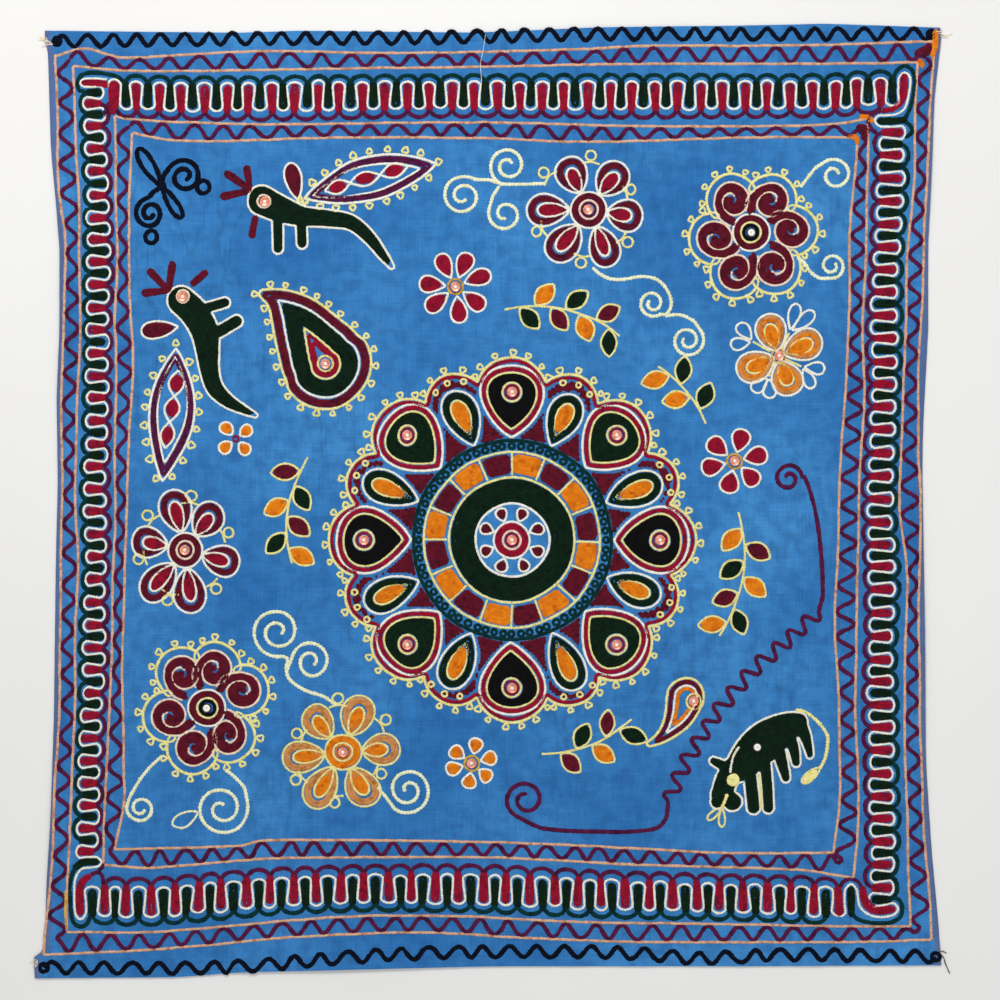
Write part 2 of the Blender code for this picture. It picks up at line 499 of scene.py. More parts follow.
def cotton():
    tree = Tree("blue_cotton", 0.9, Sheen_Weight=0.08, Sheen_Roughness=0.5, Specular_IOR_Level=0.15)
    clouds = tree.steps(tree.noise(5.5, 3), (0.34, 0), (0.68, 1))
    mottle = tree.noise(70, 5)
    weft = tree.noise(26, 4, stretch=(1, 34, 1))
    warp = tree.noise(26, 4, stretch=(34, 1, 1))
    dye_and_shade = tree.blend(clouds, BLUE, PALE_BLUE)
    patches = tree.steps(mottle, (0.36, 0.42), (0.60, 0))
    dye_and_shade = tree.blend(patches, dye_and_shade, DEEP_BLUE)
    streaks = tree.steps(tree.sum_of("MULTIPLY", weft, warp), (0.16, 0.86), (0.40, 1.09))
    dye_and_shade = tree.blend(1, dye_and_shade, streaks, "MULTIPLY")
    # painted shade: thin dark lines for small creases, laid on in large patches
    crinkled = tree.noise(7, 3.5, stretch=(3.2, 1, 1))
    painted_crease_shade = tree.steps(crinkled, (0.475, 1), (0.50, 0.84), (0.525, 1))
    patchy = tree.noise(3, 2)
    dye_and_shade = tree.blend(tree.steps(patchy, (0.42, 0), (0.6, 1)), dye_and_shade,
                      tree.blend(1, dye_and_shade, painted_crease_shade, "MULTIPLY"))
    # painted shade: a greyer violet along the lifted left and right edges
    dye_and_shade = tree.blend(tree.value_of("edge_shade"), dye_and_shade, EDGE_SHADE_VIOLET)
    place, scale = tree.place(), YARNS_PER_METRE * 2 * math.pi / 20
    yarns = [tree.wave(place, way, Scale=scale, Distortion=1.5) for way in ("X", "Y")]
    weave = tree.sum_of("MULTIPLY", *yarns)
    normal = tree.bump(weave, 0.35, 0.0002)
    normal = tree.bump(tree.noise(240, 4), 0.35, 0.0006, normal)
    normal = tree.bump(tree.noise(38, 5, stretch=(1, 1.6, 1)), 0.5, 0.0022, normal)
    return tree.finish(dye_and_shade, normal)


# %% Laying the cloth down
points = np.vstack([top_points, low_points])
cloth = as_piece("cloth_sheet", points, sheet_faces(), cotton(), "blue_cotton")
whole = bmesh.new()
whole.from_mesh(cloth.data)
bmesh.ops.recalc_face_normals(whole, faces=whole.faces)
whole.to_mesh(cloth.data)
whole.free()
shares = np.concatenate([top_share, low_share])
EDGE_SHADE_SHARE = 0.007  # about 6 mm of the width
from_edge = np.minimum(shares, 1 - shares) / EDGE_SHADE_SHARE
add_values(cloth, "edge_shade", np.clip(1.25 - from_edge, 0, 0.85))
cloth.data.set_sharp_from_angle(angle=math.radians(50))
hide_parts("cloth")
print("cloth of", len(cloth.data.polygons), "faces")

# %% [markdown]
# ## Curves a hand draws
# Every motif is a line that the maker drew on the cloth and then stitched along. The helpers
# draw such lines in plan: a smooth curve through a few points, circles, spirals, and the teardrop
# and leaf of Kutch embroidery. Bezier curve objects could do it too, but plain arrays are quicker
# to offset, join and measure.

# %% Smooth curves and even spacing
def run_along(path):
    """The distance along a path at each of its points."""
    return np.concatenate([[0], np.cumsum(np.hypot(*np.diff(path, axis=0).T))])


def found_at(path, distance):
    """The places at these distances along a path."""
    run = run_along(path)
    return np.column_stack([np.interp(distance, run, path[:, k]) for k in (0, 1)])


def spaced(path, step=1.0, closed=False):
    """The path again, with a point about every step along it."""
    path = np.asarray(path, float)
    if closed:
        path = np.vstack([path, path[:1]])
    length = run_along(path)[-1]
    count = max(3, int(round(length / step)))
    found = found_at(path, np.linspace(0, length, count + 1))
    return found[:-1] if closed else found


def evened(outline):
    """A closed outline again, with a point about every millimetre."""
    return spaced(outline, 1.0, True)


def curved(points, closed=False, steps=16):
    """A Catmull-Rom curve through points of two or more columns."""
    p = np.asarray(points, float)
    if closed:
        p = np.vstack([p[-1:], p, p[:2]])
    else:
        p = np.vstack([2 * p[0] - p[1], p, 2 * p[-1] - p[-2]])
    t = np.linspace(0, 1, steps, endpoint=False)[:, None]
    runs = []
    for a, b, c, d in zip(p, p[1:], p[2:], p[3:]):
        bend = 2 * b + (c - a) * t + (2 * a - 5 * b + 4 * c - d) * t**2
        runs.append(0.5 * (bend + (3 * b - a - 3 * c + d) * t**3))
    if not closed:
        runs.append(p[-2:-1])
    return np.vstack(runs)


def smooth(points, closed=False, step=1.0):
    return spaced(curved(points, closed), step, closed)


def eased(path, times=6):
    """An open path with its corners rubbed off."""
    path = np.array(path, float)
    for _ in range(times):
        path[1:-1] = 0.25 * path[:-2] + 0.5 * path[1:-1] + 0.25 * path[2:]
    return path


def joined(*parts):
    return eased(spaced(np.vstack(parts)))


def leftward(path):
    """The direction to the left of a path at each of its points."""
    ahead = np.gradient(path, axis=0)
    return np.column_stack([-ahead[:, 1], ahead[:, 0]]) / np.hypot(*ahead.T)[:, None]


# %% Circles, spirals, teardrops and leaves
def towards(degrees, distance=1.0):
    turn = math.radians(degrees)
    return np.array((math.cos(turn), math.sin(turn))) * distance


def spoke(centre, bearing, near, far):
    """Two places out from a centre on one bearing."""
    return centre + towards(bearing, near), centre + towards(bearing, far)


def unit(way):
    return np.asarray(way, float) / np.hypot(*way)


def bearing_of(way):
    return math.degrees(math.atan2(way[1], way[0]))


def about(centre, turn, reach):
    """Places at these turns and distances about a centre."""
    return np.column_stack([np.cos(turn), np.sin(turn)]) * np.reshape(reach, (-1, 1)) + centre


def circle(centre, radius, start=0.0):
    turn = np.radians(start) + np.linspace(0, 2 * math.pi, 40, endpoint=False)
    return about(centre, turn, radius)


def curl(centre, radius, start, turns, inner):
    """A spiral from a radius inwards. Turns below 0 run clockwise."""
    share = np.linspace(0, 1, int(40 * abs(turns)) + 2)
    turn = np.radians(start) + 2 * math.pi * turns * share
    return about(centre, turn, radius + (inner - radius) * share**1.15)


def axis_of(foot, tip):
    """The run from a foot to a tip, and the direction to its left."""
    axis = np.asarray(tip, float) - foot
    return axis, np.array((-axis[1], axis[0])) / np.hypot(*axis)


def teardrop(foot, tip, half_width, taper=1.0):
    """A closed outline, round at its tip, and pointed at its foot if the taper is 1."""
    axis, across = axis_of(foot, tip)
    turn = np.linspace(0, 2 * math.pi, 44, endpoint=False)
    along = (1 - np.cos(turn)) / 2
    out = np.sin(turn) * np.sin(turn / 2) ** taper
    out /= out.max()
    return foot + along[:, None] * axis + (out * half_width)[:, None] * across


def leaf(foot, tip, left, right, fullness=0.85):
    """A closed outline, pointed at both ends, with its own half width on each side."""
    axis, across = axis_of(foot, tip)
    share = np.linspace(0, 1, 24)
    belly = np.sin(math.pi * share) ** fullness
    spine = foot + share[:, None] * axis
    one = spine + (belly * left)[:, None] * across
    other = spine - (belly * right)[:, None] * across
    return np.vstack([one, other[-2:0:-1]])


def drawn_in(outline, by):
    """A closed outline moved inwards."""
    found = levels_of(inside_of(outline), outline.min(axis=0), outline.max(axis=0), by)
    return max(found, key=len)


# %% [markdown]
# ## Filled shapes
# A filling is worked in rows that follow the outline, each inside the last, until the middle is
# covered. The distance to the outline gives those rows at once: each row is one level of it.
# Shapes join by taking the nearest distance, so a bird's body, legs and tail become a single
# outline, as it is drawn before it is stitched.

# %% Distance to a shape, below 0 inside it
def inside_of(outline):
    """The distance to a closed outline."""
    ends = np.roll(outline, -1, axis=0)
    edge = ends - outline
    length2 = np.maximum((edge**2).sum(axis=1), 1e-9)

    def distance(places):
        found = []
        for block in np.array_split(places, max(1, len(places) // 4000)):
            away = block[:, None, :] - outline[None]
            share = np.clip((away * edge).sum(axis=2) / length2, 0, 1)
            near = np.sqrt(((away - share[..., None] * edge) ** 2).sum(axis=2).min(axis=1))
            x, y = block[:, :1], block[:, 1:]
            crosses = (outline[:, 1] > y) != (ends[:, 1] > y)
            rise = np.where(np.abs(edge[:, 1]) < 1e-9, 1e-9, edge[:, 1])
            at = outline[:, 0] + (y - outline[:, 1]) * edge[:, 0] / rise
            odd = (crosses & (x < at)).sum(axis=1) % 2 == 1
            found.append(np.where(odd, -near, near))
        return np.concatenate(found)

    return distance


def limb(*points):
    """The distance to a limb: rows of across, along and half width down its middle."""
    rows = curved(points, steps=4) if len(points) > 2 else np.asarray(points, float)
    middle, widths = rows[:, :2], rows[:, 2]

    def distance(places):
        nearest = np.full(len(places), np.inf)
        for a, b, wide, narrow in zip(middle, middle[1:], widths, widths[1:]):
            axis = b - a
            share = np.clip(((places - a) @ axis) / (axis @ axis), 0, 1)
            away = np.hypot(*(places - a - share[:, None] * axis).T)
            nearest = np.minimum(nearest, away - wide - (narrow - wide) * share)
        return nearest

    return distance


def together(*shapes):
    return lambda places: np.minimum.reduce([shape(places) for shape in shapes])


def box_of(*tables, room=12.0):
    """The corners of a box round tables of places, with this much room."""
    rows = np.vstack([np.asarray(t, float)[:, :2] for t in tables])
    return rows.min(axis=0) - room, rows.max(axis=0) + room


# %% Levels of a distance, as closed rows
# For each of the 16 ways that a cell's corners can lie inside, the pairs of sides that a row
# crosses. Sides are counted from the bottom, anticlockwise.
CROSSED = {
    1: [(3, 0)], 2: [(0, 1)], 3: [(3, 1)], 4: [(1, 2)], 5: [(3, 0), (1, 2)], 6: [(0, 2)],
    7: [(3, 2)], 8: [(2, 3)], 9: [(2, 0)], 10: [(0, 1), (2, 3)], 11: [(2, 1)], 12: [(1, 3)],
    13: [(1, 0)], 14: [(0, 3)],
}


def side_key(j, i, side):
    return ((j, i, 0), (j, i + 1, 1), (j + 1, i, 0), (j, i, 1))[side]


def levels_on(grid, corner, depth):
    """Closed paths this deep inside a shape, from a grid of distances 1 mm apart."""
    level = -depth
    inside = grid < level
    code = inside[:-1, :-1] + 2 * inside[:-1, 1:] + 4 * inside[1:, 1:] + 8 * inside[1:, :-1]
    pairs = (
        (side_key(j, i, a), side_key(j, i, b))
        for j, i in np.argwhere((code > 0) & (code < 15)).tolist()
        for a, b in CROSSED[int(code[j, i])]
    )
    paths = []
    for walk in walks(pairs):
        places = []
        for j, i, upright in walk:
            k, m = (j + 1, i) if upright else (j, i + 1)
            a, b = grid[j, i], grid[k, m]
            share = (level - a) / (b - a) if b != a else 0.5
            places.append((i + (0 if upright else share), j + (share if upright else 0)))
        if len(places) > 6:
            paths.append(evened(np.array(places) + corner))
    return paths


def grid_over(shape, lowest, highest, cell=1.0):
    """Distances on a grid over a box, with its lower corner."""
    corner = np.asarray(lowest, float) - 3 * cell
    counts = np.ceil((np.asarray(highest) + 3 * cell - corner) / cell).astype(int) + 1
    x, y = np.meshgrid(*(corner[k] + np.arange(counts[k]) * cell for k in (0, 1)))
    return shape(np.column_stack([x.ravel(), y.ravel()])).reshape(x.shape), corner


def levels_of(shape, lowest, highest, depth=0.0):
    return levels_on(*grid_over(shape, lowest, highest), depth)


# %% [markdown]
# ## Chain stitch
# Each link of chain stitch is a loop that comes up inside the one before: narrow where it starts,
# broad towards its far end, and hollow along its middle. A row is a single ribbon here, five
# points across, whose width, lobes and groove swell and shrink once a link. Every yarn of every
# loop would take tens of millions of faces, and hair curves would have no groove.

# %% The form of one link
CROSS_SHARES = np.array((-1.0, -0.52, 0.0, 0.52, 1.0))
UNSTEADY = 0.11  # how far each stitch strays from the drawn line, in millimetres
WIDTH_VARIES, HEIGHT_VARIES, TONE_VARIES = 0.07, 0.10, 0.22  # from link to link, as shares
END_SHARES = (0.55, 0.5, 0.5)  # how much of its width and heights a row keeps at its ends
BEND_ROOM = 0.92  # the share of a bend's radius that the inner side of a row may fill
TUCKED = -0.15  # the ribbon's edges go this far under the top of the cloth, in millimetres
LINK_FORMS = {
    # rows: place along the link, width, height of the lobes, height of the groove
    "fine": np.array(((0.0, 0.66, 0.72, 0.80), (0.36, 1.0, 1.0, 0.52), (0.72, 0.98, 0.96, 0.50))),
    "plain": np.array(((0.0, 0.74, 0.76, 0.82), (0.52, 1.0, 1.0, 0.62))),
    "full": np.array(((0.0, 0.90, 0.84, 0.84), (0.52, 1.0, 1.0, 0.66))),
}


# %% Faces between rows of points
def strip_faces(rows, across, ring_of_rows, ring_across):
    """Faces between rows of points. Either way, the last may meet the first again."""
    k = np.arange(rows if ring_of_rows else rows - 1)[:, None]
    m = np.arange(across if ring_across else across - 1)
    here, after, beside = k * across, (k + 1) % rows * across, (m + 1) % across
    faces = np.stack([here + beside, after + beside, after + m, here + m], axis=-1)
    return faces.reshape(-1, 4)


# %% One row of links along a path
REACH = 0.7  # a bend is measured over this much of the path each way, in millimetres


def along_path(path, closed, at):
    """Places, directions and bends at these distances along a path."""
    length = run_along(path)[-1]

    def place(distance):
        return found_at(path, distance % length if closed else np.clip(distance, 0, length))

    ahead, behind, here = place(at + REACH), place(at - REACH), place(at)
    onward = ahead - behind
    onward /= np.maximum(np.hypot(*onward.T), 1e-6)[:, None]
    first, second = here - behind, ahead - here
    turn = first[:, 0] * second[:, 1] - first[:, 1] * second[:, 0]
    size = np.maximum(np.hypot(*first.T) * np.hypot(*second.T), 1e-6)
    return here, onward, np.arcsin(np.clip(turn / size, -1, 1)) / REACH


def chain_row(path, closed, width, height, link, form, lift=0.0):
    """Points in millimetres, faces, and per point: tone, place along and place across."""
    path = np.vstack([path, path[:1]]) if closed else path
    length = run_along(path)[-1]
    count = max(2, int(round(length / link)))
    shape = LINK_FORMS[form]
    at = (np.arange(count)[:, None] + shape[:, 0]).ravel()
    if not closed:
        at = np.append(at, count)
    link_of = np.minimum(at.astype(int), count - 1)
    here, onward, bend = along_path(path, closed, at * length / count)
    here = here + stray(UNSTEADY, here.shape)
    uneven = stray(1, (3, count))
    rows = np.tile(shape[:, 1:], (count, 1))
    if not closed:
        rows = np.vstack([rows, shape[:1, 1:]])
        rows[[0, -1]] *= END_SHARES
    half = rows[:, 0] * width / 2 * (1 + WIDTH_VARIES * uneven[0, link_of])
    tall = height * (1 + HEIGHT_VARIES * uneven[1, link_of])
    offset = half[:, None] * CROSS_SHARES
    room = BEND_ROOM / np.maximum(np.abs(bend), 1e-3)
    narrowed = np.sign(offset) * np.minimum(np.abs(offset), room[:, None])
    offset = np.where(offset * bend[:, None] > 0, narrowed, offset)
    across = np.column_stack([-onward[:, 1], onward[:, 0]])
    places = here[:, None, :] + offset[..., None] * across[:, None, :]
    lobe, groove = tall * rows[:, 1], tall * rows[:, 2]
    edge = np.full(len(at), TUCKED)
    rise = np.column_stack([edge, lobe, groove, lobe, edge])
    flat = places.reshape(-1, 2)
    points = np.column_stack([flat, lie(flat) + rise.ravel() + lift])
    faces = strip_faces(len(at), 5, closed, False)
    tone = np.repeat(0.5 + TONE_VARIES * uneven[2, link_of], 5)
    run = np.repeat(at, 5)
    side = np.tile(CROSS_SHARES, len(at))
    return points, faces, tone, run, side


# %% The drift of the hand
DRIFT_LENGTHS = (47, 64, 97, 131)  # millimetres over which the drawn lines wander
DRIFT_REACH = 0.5
drifts = [
    (towards(57 * a, 2 * math.pi / length), p, towards(math.degrees(b), DRIFT_REACH))
    for length, (a, p, b) in zip(DRIFT_LENGTHS, chance.uniform(0, 2 * math.pi, (4, 3)))
]


def wander(places):
    """The places as the hand drew them, about half a millimetre off."""
    return places + sum(np.sin(places @ wave + phase)[:, None] * push for wave, phase, push in drifts)


# %% Collecting the rows of each piece
THREADS = {
    # width, height, link, form
    "fine": (2.65, 0.95, 2.6, "fine"),
    "cord": (3.9, 1.15, 3.4, "fine"),
    "line": (3.3, 0.95, 3.6, "plain"),
    "wool": (4.9, 1.05, 4.2, "full"),
    "slim": (4.1, 1.0, 3.8, "full"),
    "picot": (2.85, 0.95, 2.2, "plain"),
}
sewn = defaultdict(list)  # rows by the place and the colour that they belong to
ground = defaultdict(list)  # patches of thread under fillings


def sew(place, colour, thread, path, closed=False, swell=1.0, lift=0.0):
    """Works one row of chain stitch along a path in plan, in millimetres."""
    width, height, link, form = THREADS[thread]
    if len(path) > 2:
        path = wander(np.asarray(path, float))
        row = chain_row(path, closed, width * swell, height, link, form, lift)
        sewn[place, colour].append(row)


def sew_ring(place, colour, thread, centre, radius, swell=1.0, lift=0.0):
    round_path = circle(centre, radius, chance.uniform(0, 360))
    sew(place, colour, thread, round_path, True, swell, lift)


def sew_rings(place, centre, *rings):
    """Rings about one middle, each by its yarn, thread and radius."""
    for yarn, thread, radius in rings:
        sew_ring(place, yarn, thread, centre, radius)


# %% Filling a shape with rows
PITCH = 3.9  # from one row of a filling to the next
SLIM = {"thread": "slim", "pitch": 3.1}  # a closer filling, for petals
ALL_ROWS = 99


def fill(place, colour, shape, lowest, highest, first=1.9, thread="wool", pitch=PITCH, rows=ALL_ROWS):
    """Rows inside a shape, from its edge to its middle, over a thin patch of the same thread."""
    grid, corner = grid_over(shape, lowest, highest)
    for k in range(rows):
        depth = first + k * pitch
        if depth > -grid.min() - 0.25:
            break
        for path in levels_on(grid, corner, depth):
            if len(path) > 4:
                sew(place, colour, thread, path, True)
    if rows == ALL_ROWS:
        lay_ground(place, colour, shape, lowest, highest)


def fill_outline(place, colour, outline, first=1.9, **settings):
    """The same for a closed outline."""
    lowest, highest = outline.min(axis=0), outline.max(axis=0)
    fill(place, colour, inside_of(outline), lowest, highest, first, **settings)


GROUND_CELL = 2.4
GROUND_HEIGHT = 0.5


def lay_ground(place, colour, shape, lowest, highest):
    grid, corner = grid_over(shape, lowest, highest, GROUND_CELL)
    inside = grid < -1.2
    whole_cells = inside[:-1, :-1] & inside[:-1, 1:] & inside[1:, 1:] & inside[1:, :-1]
    wide = grid.shape[1]
    j, i = np.nonzero(whole_cells)
    if len(j) == 0:
        return
    a = j * wide + i
    faces = np.column_stack([a, a + 1, a + wide + 1, a + wide])
    kept, faces = np.unique(faces, return_inverse=True)
    faces = faces.reshape(-1, 4)
    places = wander(np.column_stack([kept % wide, kept // wide]) * GROUND_CELL + corner)
    points = np.column_stack([places, lie(places) + GROUND_HEIGHT])
    # painted shade: the patch shows only between rows, so it gets a darker tone and a little groove
    # shade
    under_row_shade = np.full(len(points), 0.3)
    ground[place, colour].append((points, faces, under_row_shade, points[:, 0] / 4, under_row_shade))


# %% [markdown]
# ## The threads
# Two kinds of yarn: soft two-ply wool, nearly matt, and cream cotton with more twist and a little
# shine. Both vary as they were pulled tighter or looser, so each link carries its own tone. The
# groove of each row and its tucked edges get painted shade, mixed towards the darker colour. The
# twist runs slantwise across each lobe, as a wave along the stitch.

# %% Yarn colours
YARNS = {
    # colour, darker colour, thread slot, roughness, haze of loose fibres
    "cream": ((255, 254, 243), (242, 233, 204), "cream", 0.55, 0.2),
    "straw": ((253, 246, 172), (230, 212, 116), "cream", 0.55, 0.2),
    "pale": ((250, 251, 216), (228, 228, 176), "cream", 0.55, 0.2),
    "blush": ((255, 238, 214), (236, 200, 166), "cream", 0.55, 0.2),
    "gold": ((236, 196, 70), (176, 120, 24), "orange", 0.6, 0.25),
    "maroon": ((104, 14, 36), (64, 6, 23), "maroon", 0.9, 0.12),
    "plum": ((94, 22, 66), (54, 11, 46), "maroon", 0.9, 0.12),
    "crimson": ((160, 10, 44), (108, 6, 34), "crimson", 0.9, 0.12),
    "green": ((8, 36, 18), (3, 18, 9), "green", 0.92, 0.04),
    "teal": ((3, 54, 52), (1, 30, 32), "green", 0.92, 0.04),
    "black": ((11, 10, 12), (3, 3, 4), "black", 0.92, 0.03),
    "navy": ((5, 11, 30), (2, 5, 16), "black", 0.92, 0.03),
    "orange": ((240, 138, 16), (196, 92, 6), "orange", 0.86, 0.15),
    "tan": ((218, 150, 86), (170, 106, 52), "orange", 0.86, 0.15),
    "peach": ((236, 188, 152), (184, 128, 98), "orange", 0.7, 0.25),
}


# %% The yarn material
def yarn_material(name):
    bright, dark = (colour_of(*colour) for colour in YARNS[name][:2])
    roughness, haze = YARNS[name][3:]
    tree = Tree(
        f"{name}_yarn", roughness, Sheen_Weight=haze, Sheen_Roughness=0.45, Specular_IOR_Level=0.12
    )
    fibres = tree.noise(900, 3)
    mixed = tree.sum_of("ADD", tree.value_of("tone"), tree.sum_of("MULTIPLY", fibres, 0.7))
    share = tree.steps(mixed, (0.35, 0), (1, 1))
    colour = tree.blend(share, dark, bright)
    # painted shade: the groove and tucked edges are mixed towards the darker colour
    colour = tree.blend(tree.value_of("groove_shade"), colour, dark)
    stitch = tree.add("ShaderNodeUVMap", {"uv_map": "stitch"}).outputs["UV"]
    slant = tree.add("ShaderNodeMapping", Vector=stitch, Rotation=(0, 0, 0.7)).outputs["Vector"]
    twist = tree.wave(slant, Scale=1.4, Distortion=1.2, Detail=2)
    normal = tree.bump(twist, 0.5, 0.0003)
    normal = tree.bump(fibres, 0.45, 0.0004, normal)
    return tree.finish(colour, normal)


yarn_materials = {name: yarn_material(name) for name in YARNS}
print(len(yarn_materials), "yarns")


# %% [markdown]
# ## The border lines
# Four rings of peach cotton divide the border into bands. No ruler was used, so each line wanders
# by a few millimetres, and the corners are not square. Each side is a short list of places that
# the line passes, read as a smooth curve.

# %% Where the four lines run
# Each side is a list of (across, along), clockwise from the top left corner.
BORDER_LINES = {
    "outer": {
        "top": [(-431.5, 445), (-403, 452.5), (-378, 446), (-352, 443.5), (-227, 449),
                (-97, 448), (93, 451), (163, 454.5), (323, 456), (446.5, 459)],
        "right": [(446.5, 459), (443, 390), (438.5, 305), (433.5, 171), (430, 61), (433.5, 1),
                  (431, -139), (434.5, -265), (437.5, -339), (444, -438)],
        "bottom": [(444, -438), (339.5, -441), (171.5, -441), (32.5, -436), (-69.5, -431.5),
                   (-207.5, -437), (-273.5, -443), (-362.5, -450), (-443, -454)],
        "left": [(-443, -454), (-437.5, -389), (-430.5, -269), (-426.5, -119), (-424.5, 116),
                 (-421.5, 251), (-427, 311), (-431.5, 447)],
    },
    "second": {
        "top": [(-414.5, 435), (-352, 430.5), (-227, 430.5), (-97, 433), (93, 436), (253, 437),
                (429.5, 438.5)],
        "right": [(429.5, 438.5), (427, 341), (420.5, 246), (415.5, 101), (412.5, 1), (419, -79),
                  (417.5, -190), (419, -299), (423.5, -425)],
        "bottom": [(423.5, -425), (272.5, -424), (99.5, -421), (-7.5, -415.4), (-87.5, -414.5),
                   (-158.5, -417), (-273.5, -426), (-344.5, -431), (-421.5, -431)],
        "left": [(-421.5, -431), (-418.7, -359), (-413, -199), (-410.5, -59), (-412, 21),
                 (-408, 161), (-407.5, 271), (-412, 370), (-414.5, 435)],
    },
    "third": {
        "top": [(-373.5, 385), (-352, 381), (-227, 377), (3, 378), (163, 375), (323, 375),
                (380.5, 382)],
        "right": [(380.5, 382), (378.5, 271), (375.5, 175), (375.5, 101), (370, -39),
                  (368, -199), (370, -319), (365.5, -377)],
        "bottom": [(365.5, -377), (303.5, -368), (135.5, -363), (-7.5, -356.5),
                   (-193.5, -356.5), (-273.5, -362), (-335.5, -367), (-384.8, -364)],
        "left": [(-384.8, -364), (-380.5, -259), (-374.7, -109), (-371.5, 131), (-373, 190),
                 (-370.5, 270), (-373.5, 385)],
    },
    "inner": {
        "top": [(-356.5, 367.5), (-297, 359.5), (-157, 363.5), (3, 362), (93, 359),
                (253, 363.4), (369.5, 363)],
        "right": [(369.5, 363), (363.5, 271), (359.5, 131), (353.5, 41), (348.5, -119),
                  (352, -239), (352, -299), (346.5, -352)],
        "bottom": [(346.5, -352), (272.5, -352), (206.5, -350), (81.5, -344), (-69.5, -340),
                   (-211.5, -338.6), (-255.5, -345), (-372.5, -349)],
        "left": [(-372.5, -349), (-362.5, -299), (-364.5, -249), (-363.5, -99), (-357.5, 71),
                 (-354.8, 141), (-358.5, 250), (-356.5, 367.5)],
    },
}
SIDES = ("top", "right", "bottom", "left")
line_sides = {
    name: {side: smooth(places, step=2.0) for side, places in sides.items()}
    for name, sides in BORDER_LINES.items()
}

# %% Stitching the four lines
for name, sides in line_sides.items():
    for side, path in sides.items():
        wobble = stray(0.25, (len(path), 2))
        wobble[[0, -1]] = 0
        sew(f"border_{side}", "peach", "line", eased(path + wobble, 3))
print("border lines of", sum(len(sides) for sides in line_sides.values()), "sides")

# %% [markdown]
# ## The waves between the lines
# Between each pair of lines a thick plum yarn swings from one to the other. It is a sine wave
# about the line midway between them, as high as the gap is wide, with a whole number of waves to
# each side, so that it turns the corners without a break.

# %% One wave between two paths
def wave_between(one, other, axis, length, overlap, short=0.0):
    """A wave from one path to the other along an axis, this many millimetres a crest."""
    count = 1200
    ends = np.array([np.mean([path[k, axis] for path in (one, other)]) for k in (0, -1)])
    ends += np.array((1, -1)) * np.sign(ends[1] - ends[0]) * short
    along = np.linspace(*ends, count)
    levels = [level_at(path, along, axis) for path in (one, other)]
    middle, half = (levels[0] + levels[1]) / 2, abs(levels[0] - levels[1]) / 2
    waves = round(abs(ends[1] - ends[0]) / length)
    drift = np.concatenate([[0], stray(0.2, 2 * waves - 1), [0]])
    phase = 2 * math.pi * waves * np.linspace(0, 1, count)
    phase += np.interp(np.linspace(0, 1, count), np.linspace(0, 1, 2 * waves + 1), drift)
    across = middle + np.sin(phase) * np.maximum(half - overlap, 0.5)
    return np.stack([across, along] if axis else [along, across], axis=-1)


# %% The two plum waves
WAVE_LENGTHS = {
    "outer": {"top": 30, "right": 29, "bottom": 28, "left": 30},
    "third": {"top": 29, "right": 27, "bottom": 26, "left": 31},
}
for one, other in (("outer", "second"), ("third", "inner")):
    waves = {}
    for side in SIDES:
        pair = line_sides[one][side], line_sides[other][side]
        axis = 0 if side in ("top", "bottom") else 1
        waves[side] = wave_between(*pair, axis, WAVE_LENGTHS[one][side], 1.7, 6.0)
    for side, following in zip(SIDES, (*SIDES[1:], SIDES[0])):
        path = joined(waves[side], waves[following][:1])
        sew(f"border_{side}_wave", "plum", "wool", path)

# %% The navy waves along the hems
HEM_WAVES = {
    "top": [(-430, 460), (-300, 461), (-100, 463), (60, 465), (250, 467), (443, 466)],
    "bottom": [(-443, -467), (-320, -467), (-237, -464), (-167, -458), (-60, -452), (80, -450),
               (150, -452), (212, -457), (300, -454), (448, -455)],
}
HEM_WAVE_REACH = 5.7
for side, places in HEM_WAVES.items():
    middle = smooth(places, step=2.0)
    up = middle + (0, HEM_WAVE_REACH)
    path = wave_between(up, middle - (0, HEM_WAVE_REACH), 0, 24 if side == "top" else 27, 0)
    sew(f"hem_{side}", "navy", "wool", spaced(path), swell=1.1)
    for end in (middle[0], middle[-1]):
        for radius in (1.5, 3.9) if side == "top" else (3.9,):
            sew_ring(f"hem_{side}", "navy", "wool", end, radius)

# %% [markdown]
# ## The serpentine band
# The wide band holds one cream line that meanders all the way round. Crimson fingers reach into
# its loops from the inside and dark green ones from the outside, and low arcs past the ends of
# the loops carry each colour from finger to finger. One function turns the distance along a side
# and the distance outward into a place, and all four sides use it.

# %% Places in the band
BAND = {
    # first leg, last leg, legs, half the cream's reach, arcs beyond it outside and inside, shift
    "top": (-378.5, 409.5, 71, 14, 6, 8.4, 0),
    "right": (374, -404, 69, 12.6, 4.4, 5, 0),
    "bottom": (356.5, -401.5, 65, 14.4, 7.6, 9.4, 2.4),
    "left": (-356, 414, 69, 10.9, 3, 3.2, 0),
}
OUTWARD = {"top": (1, 1), "right": (0, 1), "bottom": (1, -1), "left": (0, -1)}  # axis, sign


def band_place(side, along, out):
    """The place this far along a side and this far outward of the band's middle."""
    axis, sign = OUTWARD[side]
    level = sum(level_at(line_sides[name][side], along, 1 - axis) for name in ("second", "third")) / 2
    value = level + sign * (out + BAND[side][6])
    return (along, value) if axis else (value, along)


def leg_places(side):
    first, last, count = BAND[side][:3]
    legs = np.linspace(first, last, count)
    legs[1:-1] += stray(0.45, count - 2)
    return legs


legs_of = {side: leg_places(side) for side in SIDES}
ends_of = {side: stray(0.7, (len(legs), 2)) for side, legs in legs_of.items()}


def half_round(side, middle, half, base, depth, count):
    """Places in the band along a half ellipse."""
    turns = np.radians(np.linspace(180, 0, count))
    return [band_place(side, middle + half * math.cos(t), base + depth * math.sin(t)) for t in turns]


# %% The cream line
BULGE = 0.9  # how far the loops swell past the legs
LOOP_DEPTH = 5.0


